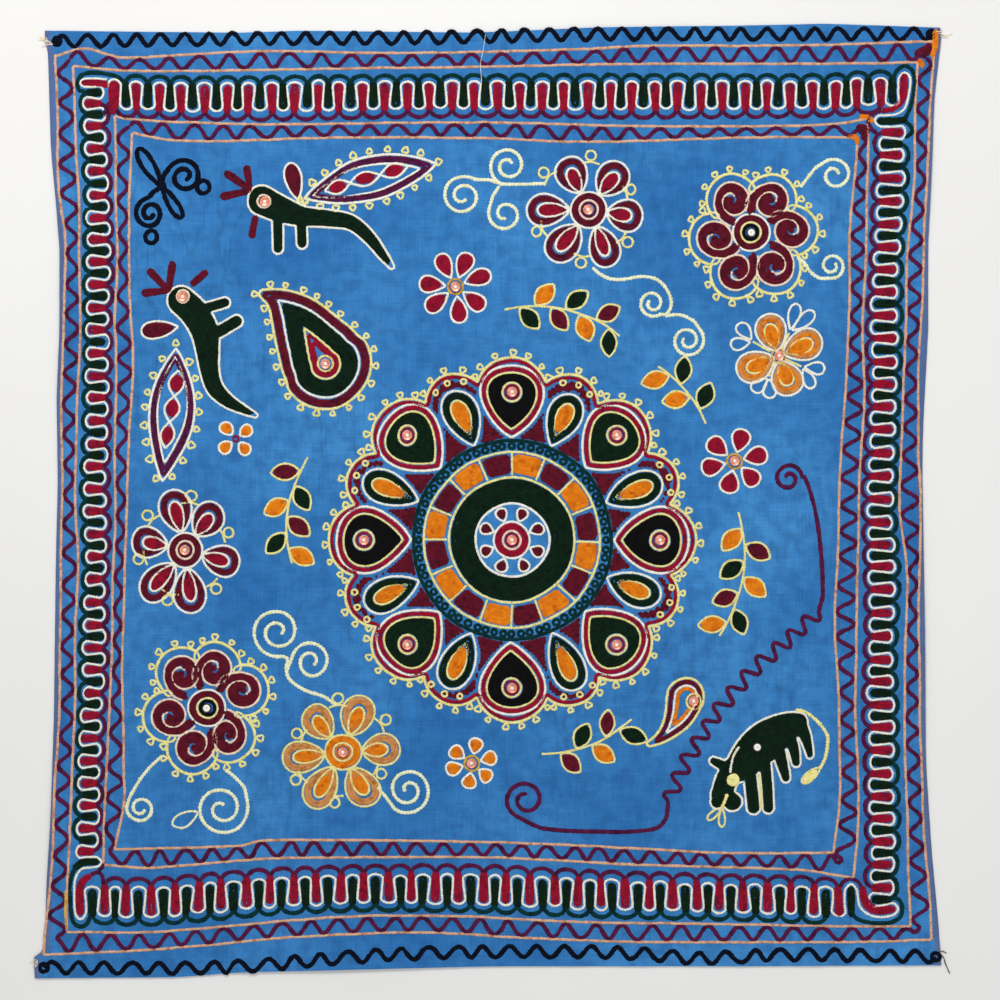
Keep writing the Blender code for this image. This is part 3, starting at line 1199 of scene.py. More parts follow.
def loop_end(side, k, outer):
    """The turn from leg k to the next, at the outer or the inner end."""
    a, b = legs_of[side][k], legs_of[side][k + 1]
    sign = 1 if outer else -1
    base = sign * (BAND[side][3] + ends_of[side][k, 0] - LOOP_DEPTH)
    half = (b - a) / 2 + np.sign(b - a) * BULGE
    return half_round(side, (a + b) / 2, half, base, sign * LOOP_DEPTH, 9)


def side_meander(side):
    """All the legs and turns of a side, from its first leg to its last."""
    points = []
    legs = legs_of[side]
    for k in range(len(legs)):
        points.append(band_place(side, legs[k], 0.0))
        if k < len(legs) - 1:
            points += loop_end(side, k, k % 2 == 0)
    return points


CORNER_TURNS = {
    # what the cream line does after each side: the long bent leg that turns the corner
    "top": [(410, 414), (410.5, 423), (416.5, 428.5), (422.5, 423), (421.5, 408), (417.5, 394),
            (409, 387.5), (398, 385.5), (390.5, 385), (387, 380), (391, 374.6), (398, 374)],
    "right": [(399, -403), (407, -402), (411.5, -407.5), (407, -413), (394, -415.5),
              (381, -413), (372, -405), (369.5, -394), (368.5, -388.5), (363.5, -383),
              (357.8, -388), (356.8, -394)],
    "bottom": [(-401.5, -403), (-401.8, -412), (-407, -418), (-412.3, -412), (-412.5, -394),
               (-411.5, -378), (-405.5, -368), (-396, -366.3), (-389.5, -365), (-386.5, -361),
               (-390.5, -356.4), (-394, -356)],
    "left": [(-398, 414), (-404, 414.4), (-407.3, 418.3), (-403, 422), (-392, 422.5),
             (-380.5, 422)],
}
for side, following in zip(SIDES, (*SIDES[1:], None)):
    points = side_meander(side)
    if side == "top":
        points = [(-379.5, 414.0)] + points[1:]
    points += CORNER_TURNS[side]
    if following:
        points.append(band_place(following, legs_of[following][0], 0.0))
    sew(f"band_{side}", "cream", "fine", smooth(points))


# %% Fingers and arcs
FINGER_HALF = 2.15
ARC_DEPTH = 7.5


def finger(side, middle, base, tip):
    """Two rows up and back down a channel, round its closed end and pinched at its foot."""
    sign = np.sign(tip - base)
    foot = base - sign * 1.6
    round_end = half_round(side, middle, FINGER_HALF, tip - sign * FINGER_HALF, sign * FINGER_HALF, 7)
    feet = [band_place(side, middle + k * 0.7, foot) for k in (-1, 1)]
    near = [band_place(side, middle + k * FINGER_HALF * 0.9, foot + sign * 6) for k in (-1, 1)]
    return [feet[0], near[0], *round_end, near[1], feet[1]]


for side in SIDES:
    legs = legs_of[side]
    reach, outside, inside = BAND[side][3:6]
    travel = np.sign(legs[-1] - legs[0])
    for first, tip_sign, beyond, finger_yarn, arc_yarn in (
        (0, 1, inside, "crimson", "plum"),
        (1, -1, outside, "green", "teal"),
    ):
        base = -tip_sign * (reach + beyond - ARC_DEPTH)
        middles = [(legs[k] + legs[k + 1]) / 2 for k in range(first, len(legs) - 1, 2)]
        for middle in middles:
            tip = tip_sign * (reach - 3.3) + stray(0.4)
            path = spaced(finger(side, middle, base, tip))
            sew(f"band_{side}", finger_yarn, "wool", path, swell=1.08)
        for one, other in zip(middles, middles[1:]):
            # a low arc from one finger to the next, past the end of the loop between them
            half = (other - one) / 2 - travel * 0.9
            arc = half_round(side, (one + other) / 2, half, base, -tip_sign * ARC_DEPTH, 13)
            sew(f"band_{side}", arc_yarn, "wool", spaced(arc))

# %% The arcs that turn the corners
CORNER_ARCS = (
    ("top", "plum", [(393, 390.5), (384, 386), (380.5, 379), (384, 371), (389, 367)]),
    ("top", "teal", [(405, 416), (407, 428), (416, 435), (424, 431), (427.3, 420),
                     (425.5, 402), (421.5, 390), (416, 381)]),
    ("right", "teal", [(416, 380), (423.5, 375), (424.5, 368), (417, 363)]),
    ("right", "plum", [(373.8, -390), (371, -382), (363.5, -377.6), (355.5, -381), (350.5, -390)]),
    ("right", "teal", [(402, -396.5), (411.5, -398), (415.5, -405), (414, -414.5), (405, -420.3),
                       (391, -421.6), (375, -419.5), (366.5, -415), (363.5, -408)]),
    ("bottom", "teal", [(-396.5, -412), (-400.5, -422), (-407.5, -425.5), (-415, -420),
                        (-417, -402), (-416.5, -380), (-411, -366), (-403, -361.5)]),
    ("bottom", "plum", [(-397, -373.5), (-390, -371), (-386, -375), (-384.5, -384)]),
    ("bottom", "plum", [(-391, -371), (-386.5, -366.5), (-383.5, -361)]),
    ("left", "teal", [(-401, 408.5), (-408.5, 411), (-410, 419), (-405.5, 426), (-396, 428.5),
                      (-382, 427.5), (-370, 424.5), (-363.5, 418), (-362, 411)]),
    ("left", "plum", [(-379, 380), (-382, 390), (-378, 399)]),
)
for side, yarn, places in CORNER_ARCS:
    sew(f"band_{side}", yarn, "wool", smooth(places))

# %% Filled fingers and darned patches at the corners
CORNER_FILLS = (
    ("band_top", "crimson", [(416.2, 424.5, 3.6), (415.3, 409, 3.8), (411.8, 398.5, 3.1),
                             (403, 392, 2.5), (393.5, 390.5, 2.3)]),
    ("band_top", "green", [(391.5, 379.5, 3.2), (404, 380, 3.5), (417, 381, 3)]),
    ("band_right", "crimson", [(405.5, -407.6, 3.4), (392.5, -408.8, 4.2), (381.5, -405.5, 4.2),
                               (375.8, -396, 3.8), (374.2, -386, 2.6)]),
    ("band_right", "green", [(363.2, -388, 3.4), (363.2, -400, 3.8), (363.4, -413, 3)]),
    ("band_bottom", "crimson", [(-407.2, -411, 3.6), (-407.5, -394, 3.9), (-404.8, -381, 3.4),
                                (-397, -374, 2.4)]),
    ("band_bottom", "green", [(-391, -360.8, 3), (-403, -361, 3.4), (-411, -366, 3.2)]),
    ("band_left", "crimson", [(-404, 418.2, 3), (-391, 418, 3.4), (-381, 416.8, 3.2)]),
    ("band_left", "crimson", [(-374.8, 416, 4.2), (-373.8, 404, 5), (-375.5, 389, 3.4)]),
    ("border_right", "orange", [(447.2, 469, 2.8), (447, 456, 3.2), (444.5, 444, 2.4)]),
    ("border_right", "orange", [(431, 440.5, 2.6), (434, 436, 2.4), (431.5, 431, 2)]),
    ("border_right", "orange", [(369, 383.5, 1.8), (379.5, 384, 2.6), (384.5, 378, 2.3),
                                (384, 368, 1.5)]),
    ("border_right", "orange", [(359, 364, 1.8), (367.5, 363.5, 2.6), (369, 356, 2)]),
    ("border_right_wave", "maroon", [(430, 447, 4), (438, 450, 4.8), (441, 455, 3)]),
    ("border_right_wave", "maroon", [(371, 373, 3.2), (377.5, 371, 4.4), (376, 362, 3)]),
)
for place, yarn, rows in CORNER_FILLS:
    fill(place, yarn, limb(*rows), *box_of(rows), 1.8, pitch=3.4)
sew("border_left", "gold", "line", smooth([(-421, -388), (-422, -408), (-421.5, -428)]), lift=0.25)
print("rows in the border:", sum(len(rows) for rows in sewn.values()))


# %% [markdown]
# ## Flowers of six petals
# Three flowers have the same build: rings of wool and cotton about the spangle, then six petals,
# each with a pale outline, two rows of wool, bare cloth, and a smaller filled petal. Little rings
# ride on the links between the petals. Only the yarns, bearings and reaches differ, so those are
# the table.

# %% Where the spangles sit
def heart_of(name):
    lowest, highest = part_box(f"spangle_{name}")
    return (np.array(lowest[:2]) + np.array(highest[:2])) / 2 / MM


# %% One petal
PETAL_HALF = 16


def petal(place, foot, tip, outer, inner, edge):
    onward = unit(tip - foot)
    outline = evened(teardrop(foot, tip, PETAL_HALF, 0.45))
    sew(place, edge, "fine", outline, True)
    fill_outline(place, outer, outline, 3.3, **SLIM, rows=2)
    heart = evened(teardrop(foot + onward, tip - onward * 11.5, PETAL_HALF * 0.42, 0.6))
    sew(place, edge, "fine", heart, True, lift=0.35)
    fill_outline(place, inner, heart, 2.6, **SLIM)


# %% Picots and small rings
def anticlockwise(outline):
    """The same outline, run so that its right side is the outside."""
    x, y = outline.T
    area = np.sum(x * np.roll(y, -1) - y * np.roll(x, -1))
    return outline if area > 0 else outline[::-1]


def picots(place, colour, path, every, out=4.8, radius=2.5):
    """Tiny loops along a path, to the right of its run when out is above 0."""
    even = spaced(path, every, True)
    ahead = np.roll(even, -1, axis=0) - np.roll(even, 1, axis=0)
    for (x, y), (dx, dy) in zip(even, ahead):
        size = math.hypot(dx, dy)
        lean = chance.uniform(-0.25, 0.25)
        aside = np.array((dy / size + lean * dx / size, -dx / size + lean * dy / size))
        turn = np.radians(np.arange(0, 360, 20))
        bearing = math.radians(bearing_of(aside))
        reach = radius * chance.uniform(0.9, 1.2) * (1 - 0.17 * np.cos(3 * (turn - bearing)))
        loop = about((x, y), turn, reach)
        sew(place, colour, "picot", loop + aside * out, True)


# %% The three flowers
SIX_PETALS = {
    # outer yarn, inner yarn, edge, ring yarn, petals as bearing and reach, rings on the links
    "flower_top": (
        "maroon", "crimson", "cream", "maroon",
        ((114.5, 56.5), (52.4, 57.3), (-8.5, 56), (-67, 60.8), (-126, 61.6), (180, 62)),
        ((3.2, 54), (-44, 36.7), (43, 20), (40, -32), (-7.7, -52.5), (-51, -21)),
    ),
    "flower_left": (
        "maroon", "crimson", "cream", "maroon",
        ((102.8, 61.5), (53.6, 56.4), (-15.9, 56.7), (-84, 63.7), (-129, 64), (168.5, 53)),
        ((6, 54), (-36, 35), (44.3, 17.8), (-46, -9.7), (30.6, -39.4), (-16.5, -50.3)),
    ),
    "flower_bottom": (
        "tan", "orange", "straw", "orange",
        ((128, 57), (69, 59.5), (4, 57), (-62, 60), (-121, 64), (187, 61)),
        ((-4, 54), (-46, 18.7), (43, 32.5), (-46.8, -28.4), (38, -21.9), (-7.7, -50.9)),
    ),
}
for name, (outer, inner, edge, ring_yarn, petals, rings) in SIX_PETALS.items():
    heart = heart_of(name)
    first_edge = "blush" if edge == "cream" else edge
    sew_rings(name, heart, (ring_yarn, "picot", 6.8), (first_edge, "fine", 9.2),
              (ring_yarn, "slim", 12.1), (ring_yarn, "slim", 14.9))
    sew_ring(name, edge, "fine", heart + (0.3, -0.4), 17.7)
    for bearing, reach in petals:
        petal(name, *spoke(heart, bearing, 18.2, reach), outer, inner, edge)
    for ring in rings:
        out, bearing, far = heart + ring, bearing_of(ring), np.hypot(*ring)
        sew_ring(name, "straw", "fine", out, 5.0)
        left, right = (heart + towards(bearing + turn, far * 0.86) for turn in (11, -11))
        sew(name, "straw", "fine", smooth([left, out - unit(ring) * 6.4, right]))
print("three flowers of six petals")

# %% [markdown]
# ## The orange flower
# Four broad petals meet at the spangle itself, and from between them spring pairs of small
# loops on short stems, which stand for buds.

# %% Four petals and four pairs of loops
name, heart = "flower_right", heart_of("flower_right")
for bearing, reach in ((108, 43.6), (24, 46.5), (-73, 41.5), (204, 45)):
    foot, tip = spoke(heart, bearing, 5.2, reach)
    outline = evened(teardrop(foot, tip, 15.5, 0.5))
    sew(name, "cream", "fine", outline, True)
    fill_outline(name, "tan", outline, 3.3, thread="slim", rows=1)
    fill_outline(name, "orange", outline, 6.3, thread="slim", rows=1)
    away = towards(bearing)
    inner = evened(teardrop(foot + away * 3, tip - away * 10.0, 7.2, 0.5))
    sew(name, "straw", "fine", inner, True)
    fill_outline(name, "orange", inner, 2.6, **SLIM)
sew_ring(name, "gold", "fine", heart, 7.0)
LOOP_PAIRS = (
    # where the stem forks, then the far ends of its two loops
    ((9.9, 23.5), (17.5, 52), (35.5, 44)),
    ((-27, 14.5), (-40, 32.5), (-47.5, 10.5)),
    ((21.4, -10.7), (46.5, -13.0), (33.5, -32)),
    ((-10.5, -21), (-26, -35.5), (-10, -42.5)),
)
for fork, *ends in LOOP_PAIRS:
    fork = heart + fork
    sew(name, "straw", "fine", spaced([heart + (fork - heart) * 0.3, fork]))
    for end in ends:
        tip = heart + end
        loop = teardrop(fork + (tip - fork) * 0.12, tip, 6.2)
        sew(name, "cream", "fine", evened(loop), True)

# %% [markdown]
# ## Rosettes of scrolls
# Six scrolls turn the same way round a core, each a cream line with a broad maroon band inside
# it. Both are spirals about one middle, written as radius against the angle swept, since a plain
# spiral would close up too evenly. A scalloped line with picots runs round the outside: the
# outline of six overlapping discs.

# %% Radius against the angle swept, in degrees and millimetres
SCROLL_LINE = ((-30, 27.5), (0, 23.5), (25, 20), (60, 17.5), (300, 17), (326, 16.3), (378, 11.3),
               (458, 7.0), (520, 5.5), (559, 4))
SCROLL_BAND = ((-42, 24), (-15, 19.5), (20, 15.5), (60, 13.2), (100, 12.2), (300, 12.2), (360, 9.0),
               (400, 5.5), (450, 2.5))
SCROLL_START = -63.0  # the first bearing, counted from the one that leads to the core


def scroll(centre, first, table, aside=0.0, start=None, stop=None):
    swept, reach = np.transpose(table)
    turn = np.arange(start if start is not None else swept[0], stop or swept[-1], 4.0)
    far = np.interp(turn, swept, reach) + aside
    return spaced(about(centre, np.radians(first - turn), far))


def disc(centre, radius):
    """The distance to a disc."""
    return lambda places: np.hypot(*(places - centre).T) - radius


# %% The two rosettes
ROSETTES = {
    "rosette_top": ((-18.7, 33.7), (20.2, 33), (40.4, 2.2), (23.2, -35.5), (-15, -39.4),
                    (-36.6, -6.2)),
    "rosette_bottom": ((-25.3, 35), (7.8, 40.4), (36.6, 17.8), (22.3, -29), (-14.4, -40.5),
                       (-38, -8.6)),
}
for name, middles in ROSETTES.items():
    heart = heart_of(name)
    for middle in middles:
        bearing = bearing_of(np.negative(middle)) + SCROLL_START
        centre = heart + middle
        sew(name, "blush", "fine", scroll(centre, bearing, SCROLL_LINE))
        for aside in (2.0, -2.0):
            path = scroll(centre, bearing, SCROLL_BAND, aside)
            sew(name, "maroon", "wool", path, swell=1.05)
        sew(name, "maroon", "slim", scroll(centre, bearing, SCROLL_BAND, -5.6, 150, 400))
        sew_ring(name, "maroon", "slim", centre + towards(bearing - 20, 0.8), 2.1)
    sew_rings(name, heart, ("black", "slim", 7.2), ("straw", "fine", 10.2),
              ("maroon", "wool", 13.2), ("maroon", "slim", 16), ("cream", "fine", 18.6))
    scallop = together(*(disc(heart + middle, 25.8) for middle in middles))
    edge = levels_of(scallop, heart - 72, heart + 72)[0]
    sew(name, "straw", "fine", edge, True, swell=1.25)
    picots(name, "straw", anticlockwise(edge), 14.5)
    reaches = np.hypot(*(edge - heart).T)
    wide = len(edge) // 12
    for k in range(len(edge)):
        if reaches[k] == np.take(reaches, range(k - wide, k + wide + 1), mode="wrap").min():
            inward = (heart - edge[k]) / reaches[k]
            loop = teardrop(edge[k], edge[k] + inward * 9.5, 2.6)
            sew(name, "straw", "fine", evened(loop), True)
print("two rosettes")

# %% [markdown]
# ## Tendrils
# Cream tendrils fill the spaces between the flowers. Each is a stem through a few points that
# runs into a curl, stitched as one line without a break.

# %% Stems and curls
TENDRILS = (
    # piece, stem, then the curl: centre, radius, first bearing, turns, inner radius
    ("flower_top", ((58.5, 317), (32.5, 316.5), (15.5, 316.5)), ((20.5, 335), 19, -105, -1.65, 4)),
    ("flower_top", ((15.5, 316), (2.5, 321)), ((-24.5, 305), 20, 55, 1.75, 4)),
    ("flower_top", ((12.5, 315), (5.5, 305)), ((17.5, 287), 17, 152, 1.38, 4)),
    ("flower_top", ((104.5, 234), (112.5, 227), (124.5, 222), (137.5, 222), (152.5, 225),
                    (167.5, 223), (177.5, 216), (183.5, 204), (183.5, 193), (177.5, 185)),
     ((165.5, 198), 14, -47, -1.5, 4)),
    ("flower_top", ((177.5, 185), (192.5, 186), (205.5, 180)), ((199.5, 160), 17, 50, -1.75, 4)),
    ("rosette_top", ((313, 314), (319.5, 323), (327.5, 333)), ((347.5, 326), 16, 130, -1.35, 4)),
    ("rosette_top", ((309, 243), (317, 237), (322.5, 229), (332.5, 222)),
     ((344.5, 235), 13, -100, 1.4, 4)),
    ("rosette_bottom", ((-325, -255), (-332.5, -262), (-345.5, -277), (-356.5, -294)),
     ((-346.5, -307), 14, 170, 1.5, 4)),
    ("rosette_bottom", ((-262, -269), (-254.5, -274), (-242.5, -286)),
     ((-265.5, -307), 27, 20, -1.9, 4)),
    ("flower_bottom", ((-111.5, -286), (-102.5, -297), (-96, -305)),
     ((-79.5, -289), 24, 234, 1.95, 3)),
    ("flower_bottom", ((-149.5, -204), (-162.5, -195), (-182.5, -189), (-197.5, -179),
                       (-201.5, -167), (-199.5, -158)), ((-210.5, -131), 25, -75, -1.9, 4)),
    ("flower_bottom", ((-201.5, -172), (-198, -162)), ((-176.5, -161), 20, 160, -1.6, 4)),
)
for place, stem, (centre, *form) in TENDRILS:
    path = joined(smooth(stem), curl(centre, *form))
    sew(place, "pale", "cord", path)
bud = smooth([(-289.5, -312), (-299.5, -310), (-311.5, -315), (-314.5, -324), (-302.5, -326)], True)
sew("rosette_bottom", "pale", "fine", bud, True)
print(len(TENDRILS), "tendrils")

# %% [markdown]
# ## The two birds
# Each bird is a chain of rounds from head to tail, with two legs, merged into one outline and
# filled with dark green rows that follow it. Crest, beak and wing are maroon, and one long
# feather with three beads in it streams from the neck.

# %% Filled shapes with an outline
def worked_body(place, shape, lowest, highest):
    """A cream outline and a dark green filling that follows it."""
    for path in levels_of(shape, lowest, highest):
        sew(place, "cream", "fine", path, True)
    fill(place, "green", shape, lowest, highest, 3.0)


def worked_outline(place, outline, edge, filling, first=2.9, **settings):
    sew(place, edge, "fine", evened(outline), True)
    fill_outline(place, filling, outline, first, **settings)


# %% Drawing a bird from its parts
def bird(place, eye, body, legs, crest, beak, wing):
    body, legs = (np.array(rows, float) for rows in (body, legs))
    body[:, :2] += eye
    shapes = [limb(*body)]
    for foot_x, foot_y, end_x, end_y, wide in legs:
        shapes.append(limb((*(eye + (foot_x, foot_y)), wide), (*(eye + (end_x, end_y)), wide)))
    ends = legs[:, 2:4] + eye
    lowest, highest = box_of(body, ends, room=20.0)
    worked_body(place, together(*shapes), lowest, highest)
    sew_ring(place, "blush", "picot", eye, 6.2, lift=0.7)
    root = eye + crest[0]
    strokes = [limb((*root, 2.6), (*(eye + end), 3.6)) for end in crest[1:]]
    strokes.append(limb((*(eye + beak[0]), 2.9), (*(eye + beak[1]), 3.4)))
    ends = [eye + end for end in (*crest, *beak)]
    fill(place, "maroon", together(*strokes), *box_of(ends), 1.6, pitch=3.0)
    foot, tip = eye + wing[0], eye + wing[1]
    worked_outline(place, teardrop(foot, tip, wing[2], 0.8), "cream", "maroon")


# %% The upper bird and the lower bird
bird(
    "bird_upper",
    heart_of("bird_eye_upper"),
    [(-2, 1, 15), (18, -9, 13), (38, -15, 10), (63, -17, 9), (86, -21, 8), (105, -37, 6.5),
     (119, -55, 4.5), (126, -65, 2.5)],
    [(12.5, -13, 13, -47, 5), (35, -18, 36.5, -41, 6)],
    [(-15, 11), (-38, 27.5), (-18, 33), (-42, 5)],
    [(-8.4, -16), (-12.4, -33)],
    [(32, 1), (25.5, 39), 8.5],
)
bird(
    "bird_lower",
    heart_of("bird_eye_lower"),
    [(-2, -4, 14.5), (11, -16, 14.5), (21, -34, 13.5), (24, -54, 11.5), (26, -72, 10),
     (32, -90, 9), (46, -104, 7), (62, -113, 4.5), (73, -118, 2.5)],
    [(17, -13, 42, -6, 5.5), (29, -38, 54, -25, 6.5)],
    [(-15, 6), (-32, 25), (-10, 32.4), (-37, 3.6)],
    [(9.4, 13), (21, 24)],
    [(-5, -30), (-41, -35), 8.5],
)


# %% The long feathers
def feather(place, base, tip, left, right, beads, bead_size):
    """A broad leaf with picots, a slimmer one inside it and three beads along its middle."""
    base, tip, beads = (np.asarray(places, float) for places in (base, tip, beads))
    outer = evened(leaf(base, tip, left, right))
    sew(place, "cream", "fine", outer, True, swell=1.1)
    picots(place, "straw", outer, 16.5, out=-5.0, radius=2.7)
    fill_outline(place, "plum", outer, 3.3, thread="slim", pitch=2.8, rows=2)
    onward = unit(tip - base)
    inner = leaf(base + onward * 8, tip - onward * 18, left - 8, right - 8)
    sew(place, "cream", "fine", evened(inner), True)
    long, wide = bead_size
    for bead in beads:
        ends = bead - onward * long / 2, bead + onward * long / 2
        outline = leaf(*ends, wide / 2, wide / 2, 0.6)
        fill_outline(place, "crimson", evened(outline), 2.6, pitch=3.4)
    # two lines that cross between the beads and part round each of them
    share = np.linspace(-0.5, len(beads) - 0.5, 120)
    spine = beads[0] + (beads[-1] - beads[0]) * (share / (len(beads) - 1))[:, None]
    aside = np.array((-onward[1], onward[0])) * (wide / 2 + 0.4)
    for sign in (-1, 1):
        path = spine + sign * np.cos(math.pi * share)[:, None] * aside
        sew(place, "cream", "fine", spaced(path), lift=0.15)


feather("bird_upper", (-183.5, 302), (-50.5, 337), 25, 18.6,
        ((-149.5, 314), (-121.5, 323.4), (-94, 330.6)), (22, 13))
sew("bird_upper", "straw", "cord", smooth([(-187, 303), (-184.5, 296), (-180, 300), (-184, 304)]))
eye = heart_of("bird_eye_lower")
feather("bird_lower", eye + (-6.6, -51), eye + (-20, -184), 24, 20,
        [eye + k for k in ((-6.6, -86), (-10.6, -111.6), (-15.4, -138.8))], (21, 13))
print("two birds")

# %% [markdown]
# ## The small orange flower
# Four plain petals about a small ring, with no stem. It fills a gap beside the left flower.

# %% Four petals
SMALL_FLOWER = np.array((-252, 62))
sew_ring("sprigs", "crimson", "fine", SMALL_FLOWER, 2.6)
for bearing in (38, 130, 222, 312):
    outline = teardrop(*spoke(SMALL_FLOWER, bearing, 5.5, 20), 6, 0.6)
    worked_outline("sprigs", outline, "cream", "orange", 2.8)

# %% [markdown]
# ## The calf
# Like the birds, it is made of rounds joined into one outline: back, head with a parted muzzle,
# and five short legs in a row, which is how many were stitched. A cord is its tail, with a tuft.

# %% Body, legs and head
CALF_BODY = [(311, -221, 9.5), (301, -225, 14), (287.5, -233, 18), (272.5, -244, 20.5),
             (260.5, -257, 18), (250.5, -269, 13)]
CALF_HEAD = [(247.5, -267, 12), (239.5, -279, 12), (234.5, -294, 12)]
CALF_LEGS = [
    [(311, -223, 8.5), (318, -236, 6.6), (323, -253, 4.4)],
    [(300, -232, 7.0), (305, -246, 6.2), (308, -261, 4.8)],
    [(290, -245, 7.0), (294, -262, 6.2), (298, -277, 4.8)],
    [(277.5, -264, 6.2), (279.5, -307, 6.2)],
    [(262.5, -274, 6.4), (265, -307.5, 6.4)],
]
CALF_FACE = [
    [(234.5, -294, 9), (230.5, -300, 8)],
    [(240, -296, 9), (245.5, -301, 9.5)],
    [(225.5, -260, 4.5), (236.5, -265, 6)],
]
calf_parts = [CALF_BODY, CALF_HEAD, *CALF_LEGS, *CALF_FACE]
calf = together(*(limb(*rows) for rows in calf_parts))
worked_body("calf", calf, *box_of(*calf_parts, room=26.0))
sew("calf", "cream", "fine", smooth([(251.5, -245), (246, -256), (243.5, -272)]), lift=0.8)
for radius in (2.0, 4.6):
    sew_ring("calf", "straw", "slim", (246.5, -279), radius, lift=0.8)
sew("calf", "straw", "fine", smooth([(272, -308), (271.5, -290), (270.5, -273)]), lift=0.7)

# %% Tail, tuft and tongue
tail = [(308, -209), (318.5, -211.4), (330.5, -220.7), (340, -233), (341, -243), (339, -256.5),
        (333.8, -267.4)]
sew("calf", "straw", "cord", smooth(tail))
tuft = teardrop((334, -266.5), (315, -281), 4.6, 0.5)
worked_outline("calf", tuft, "straw", "straw", 2.6, pitch=2.6)
sew("calf", "straw", "cord", smooth([(241, -293), (238, -300), (235, -306.5)]), lift=0.6)
for end in ((220.5, -318), (234.5, -325.5)):
    sew("calf", "straw", "fine", evened(teardrop((235, -306), end, 3.2)), True)
print("the calf")

# %% [markdown]
# ## The long dark red line and the corner scroll
# One line of plum wool starts in a curl, runs down, becomes a zigzag and ends in another curl.
# The scroll in the corner is two curls and two loops about a knot, in the navy of the hem waves.

# %% The red line
ZIGZAG_WAVES, ZIGZAG_REACH = 12, 7.8
zigzag = smooth([(331, -110), (303, -136), (270, -165), (241, -197), (216, -232), (197, -264),
                 (180, -300)])
turn = 2 * math.pi * ZIGZAG_WAVES * np.linspace(0, 1, len(zigzag))
zigzag = zigzag + (ZIGZAG_REACH * np.sin(turn))[:, None] * leftward(zigzag)
upper_curl = curl((300.5, 23), 15, -10, 1.5, 3)[::-1]
stem_down = smooth([(314.5, 30), (322.5, 11), (330.5, -19), (334.5, -59), (335.5, -95)])
stem_across = smooth([(178, -316), (168, -327), (140, -330), (95, -330), (57.5, -327.5),
                      (40, -321)])
lower_curl = curl((38.5, -298), 19.6, -124, -1.45, 5.5)
red_line = joined(upper_curl, stem_down[3:], zigzag, stem_across, lower_curl)
sew("red_line", "plum", "wool", red_line)

# %% The corner scroll
KNOT = np.array((-325, 314))
CORNER_STROKES = (
    joined(spaced([KNOT, (-323.5, 326)]), curl((-303.5, 324), 17.5, 165, -1.7, 3)),
    joined(spaced([KNOT, (-334, 309)]), curl((-337.5, 288), 15.5, 95, 1.75, 3)),
)
for path in CORNER_STROKES:
    sew("corner_scroll", "navy", "wool", path, swell=1.18)
for tip, wide in (((-349, 351.5), 6.2), ((-305.5, 284), 4.6)):
    loop = teardrop(KNOT, tip, wide, 0.9)
    sew("corner_scroll", "navy", "wool", evened(loop), True, swell=1.1)
for centre in ((-284, 313.5), (-336, 264.5)):
    sew_ring("corner_scroll", "navy", "wool", centre, 6.4, swell=1.1)
sew_ring("corner_scroll", "navy", "wool", KNOT, 2.2, swell=1.2, lift=0.3)


# %% [markdown]
# ## The centre: a medallion
# The middle carries a round medallion of plain, much-used parts in the same yarns and scale as
# the rest: rings, blocks, petals in two sizes and a scalloped edge. Each is drawn once and turned
# about the middle spangle, with small changes by chance, since no two petals of hand work agree.

# %% Bands of yarn that follow a shape inwards
BAND_PITCH = 3.6


def worked_bands(place, shape, lowest, highest, *bands):
    """Each band is a yarn, a thread and the depths of its first and last rows."""
    grid, corner = grid_over(shape, lowest, highest)
    for yarn, thread, first, last in bands:
        count = 1 + round((last - first) / BAND_PITCH)
        if count > 2:
            middle, half = (first + last) / 2, (last - first) / 2 + 1.5
            lay_ground(place, yarn, lambda at: abs(shape(at) + middle) - half, lowest, highest)
        for depth in np.linspace(first, last, count):
            for path in levels_on(grid, corner, depth):
                if len(path) > 8:
                    sew(place, yarn, thread, path, True)


# %% The heart of the medallion
MIDDLE = heart_of("medallion_heart")
PETALS = 8
PETAL_STEP = 360 / PETALS
RINGS_END = 101.5  # where the rings end and the petals begin
place = "medallion_heart"
sew_rings(place, MIDDLE, ("crimson", "picot", 6.8), ("blush", "fine", 9.4),
          ("crimson", "slim", 12.4), ("crimson", "slim", 15.6), ("cream", "fine", 18.6))
for k in range(PETALS):
    bearing = PETAL_STEP * (k + 0.5) + stray(1.2)
    outline = teardrop(*spoke(MIDDLE, bearing, 20.3, 34.3), 5.8)
    worked_outline(place, outline, "cream", "maroon", 2.7)
sew_ring(place, "cream", "fine", MIDDLE, 37.2, 1.1)
for radius in np.arange(40.6, 60.5, 3.75):
    sew_ring(place, "green", "wool", MIDDLE, radius)
sew_ring(place, "straw", "fine", MIDDLE, 62.9, 1.1)

# %% A ring of sixteen blocks
BLOCKS = 16
place = "medallion_blocks"


def ring_block(first, last, low_radius, high_radius):
    """A closed outline between two bearings and two radii."""
    turn = np.radians(np.linspace(first, last, 12))
    outer, inner = about(MIDDLE, turn, high_radius), about(MIDDLE, turn[::-1], low_radius)
    return evened(np.vstack([outer, inner]))


for k in range(BLOCKS):
    first = k * 360 / BLOCKS + stray(0.5)
    outline = ring_block(first + 1.3, first + 360 / BLOCKS - 1.3, 66.0, 85.5)
    yarn = "orange" if k % 2 else "maroon"
    fill_outline(place, yarn, outline, 2.2)
    sew(place, "straw", "fine", spaced(spoke(MIDDLE, first, 64.5, 87)))
sew_ring(place, "straw", "fine", MIDDLE, 87.8, 1.1)
for k in range(64):
    at = MIDDLE + towards(k * 360 / 64 + stray(0.3), 93.6)
    sew_ring(place, "teal", "slim", at, 2.9, 0.85)
sew_ring(place, "teal", "slim", MIDDLE, 99.2)

